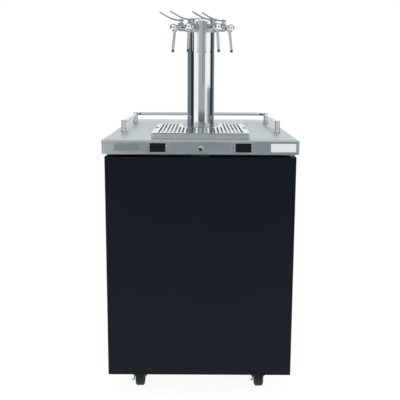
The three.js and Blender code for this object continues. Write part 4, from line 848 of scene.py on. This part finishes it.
class DISPENSER_OT_taps(Step, Operator):
    """Model one tap and copy it to its four places"""

    bl_idname = "dispenser.taps"
    bl_label = "Taps"

    def execute(self, context):
        s = context.scene.tap_sizes
        body, yoke, lever, pin = self.body(s), self.yoke(s), self.lever(s), self.pin(s)
        spout, nozzle = self.spout(s)
        for number in TAPS:
            pivot = Vector(joint(f"lever_{number}_lift")["pos_m"])
            outward = pivot - TOWER_MIDDLE
            axis = Matrix.Translation((TOWER_MIDDLE.x, TOWER_MIDDLE.y, pivot.z - s.pivot_height))
            place = axis @ Matrix.Rotation(math.atan2(outward.y, outward.x), 4, "Z")
            at_pivot = Matrix.Translation(pivot)
            tap, moving = f"tap_{number}", f"lever_{number}"
            barrel = copied(body, f"{tap}_barrel", place)
            # The barrel takes a darker copy of the polished steel, which is painted shade; its ball keeps the
            # bright polish
            fixed(barrel, "casting", "polished_steel", f"{tap}_body")
            self.polish_ball(barrel, place @ Vector((s.ball_reach, 0, 0)), s.ball)
            pipe = copied(spout, f"{tap}_pipe", place)
            fixed(pipe, "spout", "polished_steel", f"{tap}_spout")
            fixed(copied(nozzle, f"{tap}_nozzle", place), "nozzle", "black_plastic")
            screw = self.flow_screw(s, 1 if outward.x < 0 else -1, place, f"{tap}_flow_screw")
            fixed(screw, "mirror", "polished_steel")
            fixed(copied(yoke, f"{tap}_yoke", at_pivot), "mirror", "polished_steel")
            handle = copied(lever, f"{tap}_handle", at_pivot)
            # The lever takes the darker copy of the polished steel, which is painted shade
            dress(handle, "lever", moving, "polished_steel", f"{tap}_lever")
            dress(copied(pin, f"{tap}_pin", at_pivot), "screw", moving, "zinc_steel")
        discard(body, spout, nozzle, yoke, lever, pin)
        return {"FINISHED"}

    @staticmethod
    def polish_ball(piece, centre, radius):
        """Gives the faces of the ball the mirror finish; the rest of the barrel keeps a darker copy of that steel,
        which is painted shade.
        """
        margin = 0.3 * MM
        piece.data.materials.append(MATERIALS["mirror"])
        for face in piece.data.polygons:
            face.material_index = int((face.center - centre).length < radius + margin)

    @staticmethod
    def body(s):
        """Shank, saddle, notched collar, barrel, neck and ball, turned along X; then the bonnet."""
        groove, step = s.groove, s.collar - s.barrel
        shank_start, saddle_start = COLUMN_RADIUS - s.shank, COLUMN_RADIUS - s.saddle_sink
        saddle_end = COLUMN_RADIUS + s.saddle_thickness
        collar_end = saddle_end + s.collar_length
        start = 180 - math.degrees(math.asin(s.neck / s.ball))
        ball = [(r, x) for x, r in arc(s.ball_reach, 0, s.ball, start, 0, steps=18)][:-1]
        shoulder = COLUMN_RADIUS + s.saddle_thickness * 0.35
        saddle = [(s.saddle - step, saddle_start), (s.saddle, shoulder), (s.saddle, saddle_end - groove)]
        saddle.append((s.saddle - groove, saddle_end))
        low, high = s.collar - groove, s.collar
        collar = [(low, saddle_end), (low, saddle_end + groove), (high, saddle_end + 2 * groove)]
        collar += [(high, collar_end - 2 * groove), (low, collar_end - groove)]
        low, high = s.barrel - groove, s.barrel
        barrel = [(low, collar_end), (low, collar_end + groove), (high, collar_end + 2 * groove)]
        barrel += [(high, s.barrel_end - 2 * step), (s.neck + groove, s.barrel_end)]
        profile = [(0, shank_start), (s.neck, shank_start), (s.neck, saddle_start), *saddle, *collar, *barrel]
        profile += [(s.neck, s.barrel_end + groove), *ball, (0, s.ball_reach + s.ball)]
        whole = turned("barrel", rounded(profile, s.rounding), sides=64)
        notch = Vector((s.collar - s.notch_depth, -s.notch / 2, saddle_end + 3 * groove))
        beyond = Vector((s.collar + CLEAR, s.notch / 2, collar_end - 3 * groove))
        for i in range(s.notches):
            turn = Matrix.Rotation(2 * math.pi * (i + 0.5) / s.notches, 4, "Z")
            carve(whole, boxed("notch", notch, beyond, matrix=turn))
        end(whole, LYING_ALONG_X, smooth_degrees=30)
        cap_foot, top = s.bonnet_height - s.bonnet_cap_height, s.bonnet_height
        inner, seat, hollow = s.bonnet - groove, cap_foot - groove, s.ear_radius * 0.75
        bonnet = [(0, 0), (s.bonnet, 0), (s.bonnet, seat), (inner, seat), (inner, cap_foot)]
        bonnet += [(s.bonnet_cap, cap_foot), (s.bonnet_cap, top), (s.ear_radius, top)]
        bonnet += [(hollow, top - groove), (0, top - groove)]
        reach = (Vector(joint("lever_1_lift")["pos_m"]) - TOWER_MIDDLE).to_2d().length
        upright = turned("bonnet", rounded(bonnet, 0.6 * MM), matrix=Matrix.Translation((reach, 0, 0)))
        return unite("tap_body_pattern", whole, upright)

    @staticmethod
    def spout(s):
        """A slanted pipe with its collar, and the dark nozzle at its end."""
        down = along((s.ball_reach - s.spout_inset, 0, 0), (math.tan(s.slant), 0, -1))
        full = s.spout_drop / math.cos(s.slant)
        tip, start, collar = full - s.spout_tip_length, s.ball * 0.6, s.spout_collar_drop
        radius, edge = s.spout_collar, 1 * MM
        profile = [(0, start), (radius, start), (radius, collar - edge), (radius - edge, collar)]
        profile += [(s.spout, collar), (s.spout, tip), (0, tip)]
        pipe = turned("tap_spout_pattern", rounded(profile, 0.5 * MM), sides=40, matrix=down)
        overlap, fit, taper, wall = 2 * MM, 0.2 * MM, 0.4 * MM, 0.4 * MM
        foot, radius, bore, edge = tip - overlap, s.spout_tip, s.spout_bore, 0.6 * MM
        profile = [(0, foot), (s.spout - fit, foot), (radius - taper, foot), (radius, tip)]
        profile += [(radius - 0.5 * MM, full - edge), (radius - 0.5 * MM - edge, full)]
        profile += [(bore, full), (bore, tip + wall), (0, tip + wall)]
        return pipe, turned("tap_nozzle_pattern", profile, sides=40, matrix=down)

    @staticmethod
    def flow_screw(s, side, place, name):
        """The small slotted screw that sets the flow, on the side away from the room's middle."""
        start, top, step, edge, depth = s.neck * 0.7, s.screw_proud, 0.5 * MM, 0.6 * MM, 1 * MM
        shoulder, head = top - 2 * MM, s.screw - step
        profile = [(0, start), (s.screw, start), (s.screw, shoulder - 0.4 * MM), (head, shoulder)]
        profile += [(head, top - edge), (head - edge, top), (0, top)]
        piece = turned(name, profile, sides=32)
        half = s.screw_slot / 2
        carve(piece, boxed("slot", (-s.screw, -half, top - depth), (s.screw, half, top + depth)))
        return end(piece, place @ along((s.screw_reach, 0, 0), (0, side, 0)), smooth_degrees=30)

    @staticmethod
    def yoke(s):
        """The two ears that hold the lever, square to it, with the pivot at the origin."""
        ears, flare, sink, edge = [], 1.25, 0.4 * MM, 0.35 * MM
        depth = s.pivot_height - s.bonnet_height + sink
        for side in (-1, 1):
            clear_selection()
            bpy.ops.mesh.primitive_cylinder_add(vertices=40, radius=s.ear_radius, depth=s.ear)
            ear = begin("ear")
            # The lower half of the round side goes down to the bonnet and is pressed flat there
            choose(lambda at, normal: normal.y < -ALMOST_LEVEL and abs(normal.z) < ACROSS)
            extrude(y=-depth)
            choose(lambda at, normal: at.y < -s.ear_radius * 0.9 and abs(normal.z) < ACROSS)
            flat = {"center_override": (0, -depth, 0), "constraint_axis": (True, True, False)}
            bpy.ops.transform.resize(value=(flare, 0, 1), **flat)
            stand = Matrix.Translation((0, side * (s.ear_gap + s.ear) / 2, 0)) @ LYING_ALONG_Y
            end(ear, stand)
            hole = disc(s.pin + s.pin_play, -2 * s.ear, 2 * s.ear)
            carve(ear, turned("hole", hole, sides=24, matrix=stand))
            ears.append(soften(ear, edge))
        return unite("tap_yoke_pattern", *ears)

    @staticmethod
    def lever(s):
        """A blade that leaves its hub flat, curves up and widens to a round paddle."""
        steps, start = 12, 1 * MM
        corner = Vector((start, s.lever_neck / 2, s.lever_thickness / 2))
        piece = block("tap_lever_pattern", -corner, corner)
        choose(lambda at, normal: normal.x < -ALONG)
        before, width = Vector((-start, 0, 0)), s.lever_neck
        for i in range(1, steps + 1):
            at, wanted = lever_point(s, i / steps), lever_width(s, i / steps)
            extrude(*(at - before))
            bpy.ops.transform.resize(value=(1, wanted / width, 1), center_override=at)
            # With no window this operator turns the other way, so the blade's end lifts
            rise = lever_slope(s, i / steps) - lever_slope(s, (i - 1) / steps)
            bpy.ops.transform.rotate(value=-rise, orient_axis="Y", center_override=at)
            before, width = at, wanted
        end(piece)
        modify(piece, "SUBSURF", levels=2, render_levels=2)
        play, edge = 0.5 * MM, 0.5 * MM
        half = s.ear_gap / 2 - play
        hub, cam = (rounded(disc(radius, -half, half), edge) for radius in (s.lever_hub, s.cam))
        hub = turned("hub", hub, sides=40, matrix=LYING_ALONG_Y)
        away = (s.cam_offset * math.sin(s.cam_lean), 0, -s.cam_offset * math.cos(s.cam_lean))
        cam = turned("cam", cam, sides=32, matrix=Matrix.Translation(away) @ LYING_ALONG_Y)
        whole = unite("tap_lever_pattern", piece, hub, cam)
        smooth(40)
        return whole

    @staticmethod
    def pin(s):
        """The pivot pin with its two rounded heads."""
        half = s.ear_gap / 2 + s.ear + s.pin_play
        rim, crown = half + 0.36 * MM, half + 0.9 * MM
        head, face = s.pin * 1.35, s.pin * 0.9
        upper = [(s.pin, half), (head, half), (head, rim), (face, crown), (0, crown)]
        return turned("tap_pin_pattern", mirrored(upper), sides=28, matrix=LYING_ALONG_Y)


def lever_point(s, t):
    """A point on the lever's middle line, from the pivot at 0 to the paddle's end at 1."""
    bend_in, bend_down, bend_out, bend_up = 0.36, -0.05, 0.62, 0.36
    a, b, c = 3 * t * (1 - t) ** 2, 3 * t**2 * (1 - t), t**3
    reach = a * bend_in + b * bend_out + c
    rise = a * bend_down + b * bend_up + c
    return Vector((-s.lever_reach * reach, 0, s.lever_rise * rise))


def lever_slope(s, t):
    """The slope of the lever's middle line as an angle above the horizontal."""
    small = 0.01
    step = lever_point(s, min(1, t + small)) - lever_point(s, max(0, t - small))
    return math.atan2(step.z, -step.x)


def lever_width(s, t):
    """The blade's width: slim to its waist, then widening to the paddle and closing round its end."""
    waist, end_start, roundness = 0.38, 0.86, 0.8
    if t <= waist:
        return s.lever_neck
    swell = (t - waist) / (end_start - waist)
    if t <= end_start:
        return s.lever_neck + (s.lever_paddle - s.lever_neck) * math.sin(swell * math.pi / 2)
    closing = (t - end_start) / (1 - end_start)
    return s.lever_paddle * math.sqrt(1 - roundness * closing**2)


class DISPENSER_OT_worktop(Step, Operator):
    """Fold the worktop from one sheet, with its rounded bends and its cut-outs"""

    bl_idname = "dispenser.worktop"
    bl_label = "Worktop"

    def execute(self, context):
        s = context.scene.worktop_sizes
        piece = block("worktop", COUNTER_LOW, COUNTER_HIGH)
        choose(lambda at, line: abs(line.z) > ALONG, "edges")
        bpy.ops.mesh.bevel(offset=s.corner, segments=6, affect="EDGES")
        under_rim = COUNTER_HIGH.z - 0.1 * MM
        choose(lambda at, line: at.z > under_rim and abs(line.z) < ACROSS, "edges")
        bpy.ops.mesh.bevel(offset=s.bend, segments=6, affect="EDGES")
        choose(lambda at, normal: normal.z < -ALONG)
        bpy.ops.mesh.delete(type="FACE")
        modify(piece, "SOLIDIFY", thickness=s.sheet, offset=-1, use_even_offset=True)
        carve(piece, *self.cutters(s))
        end(piece, smooth_degrees=40)
        fixed(piece, "sheet_x", "satin_steel", "counter_top")
        return {"FINISHED"}

    @staticmethod
    def cutters(s):
        """The openings for the two controllers, the lock, the wine lines and the tray's drain."""
        front, reach, made = COUNTER_LOW.y, 4 * s.sheet, []
        for side in SIDES:
            corners = inset(*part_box(f"controller_{side}"), s.controller_inset, front - reach, front + reach)
            made.append(boxed("opening", *corners))
        foot = COUNTER_HIGH.z - reach
        drain = (-s.drain_side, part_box("drip_tray_pan")[0].y + s.drain_inset, foot)
        for radius, at, direction in (
            (s.lock_hole, (0, front - reach, LOCK_HEIGHT), (0, 1, 0)),
            (s.throat, (TOWER_MIDDLE.x, TOWER_MIDDLE.y, foot), (0, 0, 1)),
            (s.drain_hole, drain, (0, 0, 1)),
        ):
            made.append(turned("opening", disc(radius, 0, 2 * reach), matrix=along(at, direction)))
        return made


class DISPENSER_OT_rail(Step, Operator):
    """Bend the guard rail and turn its posts"""

    bl_idname = "dispenser.rail"
    bl_label = "Guard rail"

    def execute(self, context):
        s = context.scene.rail_sizes
        low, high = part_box("guard_rail")
        half, front = high.x - s.foot, low.y + s.foot
        height = high.z - s.cap_height / 2 - s.tube
        tube = self.tube(s, half, front, high.y - s.tube, height)
        profile, posts = self.post(s, low.z, high.z), []
        for x in (-half, half):
            for y in (front, front + s.rear_post):
                posts.append(turned("post", profile, matrix=Matrix.Translation((x, y, 0))))
        fixed(tube, "rail", "satin_steel", "guard_rail")
        fixed(unite("rail_posts", *posts), "rail", "satin_steel")
        return {"FINISHED"}

    @staticmethod
    def tube(s, half, front, back, height):
        """One ring run back, round two bends and forward again."""
        clear_selection()
        at, upright = (-half, front, height), (math.pi / 2, 0, 0)
        bpy.ops.mesh.primitive_circle_add(vertices=28, radius=s.tube, location=at, rotation=upright)
        piece = begin("rail_tube")
        run, bend = back - s.bend - front, {"steps": 12, "angle": math.pi / 2, "axis": (0, 0, 1)}
        extrude(y=run)
        bpy.ops.mesh.spin(center=(-half + s.bend, back - s.bend, height), **bend)
        extrude(x=2 * (half - s.bend))
        bpy.ops.mesh.spin(center=(half - s.bend, back - s.bend, height), **bend)
        extrude(y=-run)
        bpy.ops.mesh.select_all(action="SELECT")
        bpy.ops.mesh.fill_holes(sides=0)
        return end(piece, smooth_degrees=50)

    @staticmethod
    def post(s, foot, top):
        """The profile of a post with its foot, its shaft and its cap."""
        step, height = 0.6 * MM, s.foot_height
        cap, neck = top - s.cap_height, s.post - step
        groove, slope_height, slope_width = cap - 0.8 * MM, 1.4 * MM, 1.6 * MM
        profile = [(0, foot), (s.foot, foot), (s.foot, foot + height * 0.5)]
        profile += [(s.post + step, foot + height), (s.post, foot + height * 1.4)]
        profile += [(s.post, groove), (neck, groove), (neck, cap), (s.cap, cap)]
        profile += [(s.cap, top - slope_height), (s.cap - slope_width, top), (0, top)]
        return rounded(profile, step)


class DISPENSER_OT_fascia(Step, Operator):
    """Model the controllers, the lock and the bare plates on the fascia"""

    bl_idname = "dispenser.fascia"
    bl_label = "Fascia"

    def execute(self, context):
        s = context.scene.fascia_sizes
        for side in SIDES:
            self.controller(s, side)
        self.lock(s)
        self.plates()
        return {"FINISHED"}

    @staticmethod
    def controller(s, side):
        """A bezel with a sunk window, its case, and three touch marks on each side of the window."""
        low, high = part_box(f"controller_{side}")
        window_low, window_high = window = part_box(f"display_{side}")
        sheet = COUNTER_LOW.y - s.seat_gap - low.y
        pocket, overlap = low.y + sheet * 0.6, low.y + sheet * 0.9
        bezel = boxed(f"controller_{side}_bezel", *inset(low, high, 0, low.y, low.y + sheet))
        carve(bezel, boxed("opening", *inset(*window, -s.window_gap, low.y - CLEAR, pocket)))
        soften(bezel, width=0.5 * MM, segments=3)
        fixed(bezel, "sheet_x", "satin_steel", f"controller_{side}")
        case = inset(low, high, s.case_inset, overlap, high.y)
        case = boxed(f"controller_{side}_case", *case, edge=0.8 * MM)
        fixed(case, "plastic", "black_plastic")
        glass = inset(*window, 0, window_low.y + s.window_sink, window_high.y)
        glass = boxed(f"display_{side}_window", *glass, edge=0.4 * MM, segments=3)
        fixed(glass, "window", "dark_window", f"display_{side}")
        marks, opening = [], window_high - window_low
        centre = (window_low + window_high) / 2
        offset = (high.x - low.x + opening.x) / 4
        for x in (centre.x - offset, centre.x + offset):
            for row, corners in ((-1, 3), (0, 24), (1, 3)):
                at = along((x, low.y, centre.z + row * opening.z / 3), (0, -1, 0))
                mark = disc(s.mark, 0, s.mark_height)
                marks.append(turned("mark", mark, sides=corners, matrix=at))
        fixed(unite(f"controller_{side}_marks", *marks), "marks", "black_plastic")

    @staticmethod
    def lock(s):
        """The ring with its sleeve and nut, and the keyed shutter; the cam stays as it was packed."""
        low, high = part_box("lock_housing")
        seat = COUNTER_LOW.y - s.seat_gap
        height = seat - low.y
        out, inward = (along((0, seat, LOCK_HEIGHT), (0, way, 0)) for way in (-1, 1))
        bore, lip, slope = s.lock_bore, 0.7 * MM, height * 0.55
        profile = [(bore, 0), (s.lock, 0), (s.lock, height - slope), (s.lock - slope, height)]
        profile += [(bore + lip, height), (bore, height - lip), (bore, 0)]
        ring = turned("lock_ring", profile, sides=64, matrix=out)
        barrel = turned("lock_sleeve", sleeve(bore, s.lock_sleeve, 0, high.y - seat), matrix=inward)
        nut = sleeve(s.nut_bore, s.nut, s.nut_start, s.nut_start + s.nut_height)
        nut = turned("lock_nut", nut, sides=6, matrix=inward, smooth_degrees=20)
        fixed(unite("lock_ring", ring, barrel, nut), "mirror", "polished_steel", "lock_housing")
        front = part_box("lock_cylinder")[0].y
        rim, thick, depth = s.shutter - 0.3 * MM, s.shutter_thickness, 0.25 * MM
        profile = [(0, 0), (s.shutter, 0), (s.shutter, thick - depth), (rim, thick), (0, thick)]
        out = along((0, front + s.shutter_sink, LOCK_HEIGHT), (0, -1, 0))
        face = turned("lock_shutter", profile, sides=40, matrix=out)
        half, reach = s.key_width / 2, s.key_height / 2
        near, far = (-half, front - CLEAR, LOCK_HEIGHT - reach), (half, front + depth, LOCK_HEIGHT + reach)
        carve(face, boxed("keyway", near, far))
        dress(end(face), "plastic", "lock", "black_plastic")

    @staticmethod
    def plates():
        """A satin plate at the left and a white one at the right, both bare."""
        front, height, sink = COUNTER_LOW.y, middle_of("controller_left").z, 0.2 * MM
        # In millimetres: left and right end, foot and top from the controllers' middle, how proud, edge
        for name, left, right, foot, top, proud, edge, segments, finish, slot in (
            ("satin_plate", -262, -186, -10, 12, 0.7, 0.4, 2, "etched", "satin_steel"),
            ("white_plate", 214, 291, -13, 13, 1.0, 0.5, 3, "label", "black_plastic"),
        ):
            near = (left * MM, front - proud * MM, height + foot * MM)
            far = (right * MM, front + sink, height + top * MM)
            fixed(boxed(name, near, far, edge * MM, segments), finish, slot)


class DISPENSER_OT_casters(Step, Operator):
    """Turn the wheels with their tread, disc and hub"""

    bl_idname = "dispenser.casters"
    bl_label = "Casters"

    def execute(self, context):
        s = context.scene.caster_sizes
        wheel = turned("wheel_pattern", self.tread(s), sides=72, matrix=LYING_ALONG_X)
        cover = turned("disc_pattern", self.cover(s), sides=64, matrix=LYING_ALONG_X)
        for name in CASTERS:
            place = Matrix.Translation(joint(f"{name}_roll")["pos_m"])
            tread = copied(wheel, f"{name}_tread", place)
            dress(tread, "tyre", f"{name}_wheel", "wheel_rubber", f"caster_{name}_wheel")
            dress(copied(cover, f"{name}_disc", place), "plastic", f"{name}_wheel", "black_plastic")
        discard(wheel, cover)
        return {"FINISHED"}

    @staticmethod
    def tread(s):
        """A ring with rounded shoulders, closed on its inside."""
        half = s.width / 2
        shoulder = arc(s.wheel - s.crown, half - s.crown, s.crown, 0, 90, 6)
        whole = mirrored([*shoulder, (s.rim, half), (s.rim, half - s.dish)])
        return [*whole, whole[0]]

    @staticmethod
    def cover(s):
        """The disc with its hub, between the two sides of the tread."""
        half, fit, slope = s.width / 2, 0.1 * MM, 1.5 * MM
        face, lip, hub = half - s.dish, half - 1 * MM, half - 0.5 * MM
        inner = s.rim - 1 * MM
        upper = [(s.rim + fit, lip), (inner, lip), (inner - slope, face), (s.hub + slope, face)]
        whole = mirrored([*upper, (s.hub, hub), (s.bore, hub)])
        return [*whole, whole[0]]


class DISPENSER_OT_cabinet_trim(Step, Operator):
    """Add the rear panel's screws and the lip of the door's grip"""

    bl_idname = "dispenser.cabinet_trim"
    bl_label = "Cabinet trim"

    def execute(self, context):
        s = context.scene.trim_sizes
        low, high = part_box("rear_panel")
        pattern = screw_head("rear_screw_pattern", (0, 0, 0), (0, 1, 0), s.screw, s.screw_height)
        step = (high.z - low.z - 5 * s.screw_inset) / (s.screw_rows - 1)
        screws = []
        for x in (low.x + s.screw_inset, high.x - s.screw_inset):
            for row in range(s.screw_rows):
                place = Matrix.Translation((x, high.y, low.z + s.screw_inset + row * step))
                screws.append(copied(pattern, "rear_screw", place))
        discard(pattern)
        fixed(unite("rear_panel_screws", *screws), "screw", "zinc_steel")
        start, foot = DOOR_LOW.x + s.grip_inset, DOOR_HIGH.z - s.lip_drop
        near = (start, DOOR_LOW.y + s.lip_setback, foot)
        far = (start + s.grip_width, near[1] + s.lip_thickness, foot + s.lip_height)
        dress(boxed("door_grip_lip", near, far, edge=0.4 * MM), "plastic", "door", "black_plastic")
        return {"FINISHED"}


class DISPENSER_OT_stage(Step, Operator):
    """Set up the camera, the floor, the lamps and the cards that the polished steel reflects"""

    bl_idname = "dispenser.stage"
    bl_label = "Stage"

    # Cards round the tower: name, bearings from the front to the right in degrees, foot, top, colour
    cards = (
        ("room_left_card", -20, 8, 0.95, 3.4, "#b0b4b7"),
        ("room_right_card", 8, 37, 0.95, 3.4, "#989da1"),
        ("room_low_card", -20, 37, 0.7, 0.95, "#adb2b4"),
        ("room_floor_card", -22, 36, -1.0, 0.7, "#5f6a74"),
        ("left_dark_card", -90, -59, 0.3, 3.4, "#22323d"),
        ("left_grey_card", -150, -90, 0.3, 3.4, "#6e7883"),
        ("low_pale_card", 49, 66, 0.3, 0.92, "#b3bcbf"),
        ("low_grey_card", 66, 84, 0.3, 0.92, "#7c8b92"),
        ("right_dark_card", 84, 110, 0.3, 3.4, "#262f37"),
        ("right_grey_card", 110, 128, 0.3, 3.4, "#69747c"),
        ("right_pale_card", 128, 152, 0.3, 3.4, "#a0a8ae"),
    )
    # Area lamps: name, place, width, share of the main lamp's power
    lamps = (
        ("key_lamp", (-2.2, -2.6, 3.0), 2.4, 1.0),
        ("fill_lamp", (2.4, -2.2, 2.4), 2.4, 0.8),
        ("top_lamp", (0, 0.6, 3.6), 3.0, 0.9),
    )

    def execute(self, context):
        s = context.scene.stage_settings
        clear_selection()
        turn = (math.pi / 2 - s.pitch, s.roll, 0)
        bpy.ops.object.camera_add(location=(0, -s.distance, s.height), rotation=turn)
        camera = context.object
        camera.data.lens = s.lens
        camera.data.shift_x, camera.data.shift_y = s.shift_x, s.shift_y
        context.scene.camera = camera
        self.floor(s)
        self.light(s)
        self.make_cards(s)
        self.world(context, s)
        context.scene.view_settings.view_transform = "Standard"
        return {"FINISHED"}

    @classmethod
    def floor(cls, s):
        """A plain white floor, on which the object's shadow stays faint to the eye."""
        clear_selection()
        bpy.ops.mesh.primitive_plane_add(size=14)
        floor = bpy.context.object
        floor.name = "floor"
        material, tree, shader, _ = surface("pale_floor", Roughness=0.9)
        shader.inputs["Base Color"].default_value = linear(srgb("#f8f9fa"))
        glow = add_node(tree, "ShaderNodeEmission", Strength=s.floor_glow)
        share = add_node(tree, "ShaderNodeMapRange", {"Value": cls.looked_at(tree)}, To_Max=s.floor_share)
        parts = {0: share.outputs["Result"], 1: shader.outputs[0], 2: glow.outputs[0]}
        mixed = add_node(tree, "ShaderNodeMixShader", parts)
        tree.links.new(mixed.outputs[0], tree.nodes["Material Output"].inputs["Surface"])
        floor.data.materials.append(material)

    @classmethod
    def light(cls, s):
        """Soft lamps that are seen in no reflection."""
        for name, place, size, share in cls.lamps:
            clear_selection()
            bpy.ops.object.light_add(type="AREA", location=place)
            lamp = bpy.context.object
            lamp.name = name
            lamp.data.size = size
            lamp.data.energy = s.key_power * share
            lamp.rotation_euler = (LIT_POINT - Vector(place)).to_track_quat("-Z", "Y").to_euler()
            lamp.visible_camera = lamp.visible_glossy = False

    @classmethod
    def make_cards(cls, s):
        """Cards round and over the tower that show only in reflections: dark edges, a grey room in front."""
        for name, start, finish, foot, top, code in cls.cards:
            clear_selection()
            bpy.ops.mesh.primitive_circle_add(vertices=72, radius=s.card_distance, fill_type="NOTHING")
            card = begin(name)
            extrude(z=top - foot)
            # Leaving edit mode and coming back gives the new faces their normals
            take(card)
            bpy.ops.object.mode_set(mode="EDIT")
            choose(lambda at, normal: not start <= bearing(at) <= finish)
            bpy.ops.mesh.delete(type="FACE")
            clear_selection()
            card.location = (TOWER_MIDDLE.x, TOWER_MIDDLE.y, foot)
            cls.glowing(card, code)
        clear_selection()
        back = s.card_distance
        at = (0, (TOWER_MIDDLE.y + back) / 2, s.ceiling)
        bpy.ops.mesh.primitive_plane_add(size=1, location=at)
        card = bpy.context.object
        card.name = "ceiling_card"
        card.scale = (2 * back, back - TOWER_MIDDLE.y, 1)
        cls.glowing(card, "#a4aaaf")

    @staticmethod
    def glowing(card, code):
        """Gives a card its even glow, and hides it from all but reflections."""
        material = bpy.data.materials.new(card.name)
        material.use_nodes = True
        tree = material.node_tree
        glow = add_node(tree, "ShaderNodeEmission", Color=linear(srgb(code)))
        tree.links.new(glow.outputs[0], tree.nodes["Material Output"].inputs["Surface"])
        card.data.materials.append(material)
        card.visible_camera = card.visible_diffuse = card.visible_shadow = False

    @staticmethod
    def looked_at(tree):
        """One where the eye looks, by itself or through a reflection or glass, and zero for plain light."""
        path = add_node(tree, "ShaderNodeLightPath").outputs
        seen = path["Is Camera Ray"]
        for ray in ("Is Glossy Ray", "Is Transmission Ray"):
            seen = add_node(tree, "ShaderNodeMath", {0: seen, 1: path[ray]}, operation="MAXIMUM").outputs[0]
        return seen

    @classmethod
    def world(cls, context, s):
        """White behind the object for the eye and for reflections, and a softer light on it."""
        world = bpy.data.worlds.new("studio")
        context.scene.world = world
        world.use_nodes = True
        tree = world.node_tree
        background = tree.nodes["Background"]
        background.inputs["Color"].default_value = (1, 1, 1, 1)
        strength = add_node(tree, "ShaderNodeMapRange", {"Value": cls.looked_at(tree)}, To_Min=s.room_light)
        tree.links.new(strength.outputs["Result"], background.inputs["Strength"])


def bearing(place):
    """How far round to the right of the front a place lies, in degrees."""
    return math.degrees(math.atan2(place.x, -place.y))


OPERATORS = (
    DISPENSER_OT_stage,
    DISPENSER_OT_finishes,
    DISPENSER_OT_tower,
    DISPENSER_OT_taps,
    DISPENSER_OT_worktop,
    DISPENSER_OT_rail,
    DISPENSER_OT_fascia,
    DISPENSER_OT_casters,
    DISPENSER_OT_cabinet_trim,
)


class DISPENSER_PT_panel(Panel):
    """Lists the steps in the sidebar"""

    bl_idname = "DISPENSER_PT_panel"
    bl_label = "Draft wine dispenser"
    bl_space_type = "VIEW_3D"
    bl_region_type = "UI"
    bl_category = "Dispenser"

    def draw(self, context):
        for operator in OPERATORS:
            self.layout.operator(operator.bl_idname)
        for name, group in SETTINGS.items():
            box = self.layout.box()
            box.label(text=group.__doc__)
            for field in group.__annotations__:
                box.prop(getattr(context.scene, name), field)


def register():
    """Registers the settings, the operators and the panel."""
    for group in SETTINGS.values():
        bpy.utils.register_class(group)
    for name, group in SETTINGS.items():
        setattr(bpy.types.Scene, name, PointerProperty(type=group))
    for item in (*OPERATORS, DISPENSER_PT_panel):
        bpy.utils.register_class(item)


def unregister():
    """Takes the panel, the operators and the settings away again."""
    for item in (DISPENSER_PT_panel, *reversed(OPERATORS)):
        bpy.utils.unregister_class(item)
    for name, group in SETTINGS.items():
        delattr(bpy.types.Scene, name)
        bpy.utils.unregister_class(group)


def main():
    """Registers everything and runs every step in order."""
    register()
    for operator in OPERATORS:
        group, step = operator.bl_idname.split(".")
        getattr(getattr(bpy.ops, group), step)()


if __name__ == "__main__":
    main()
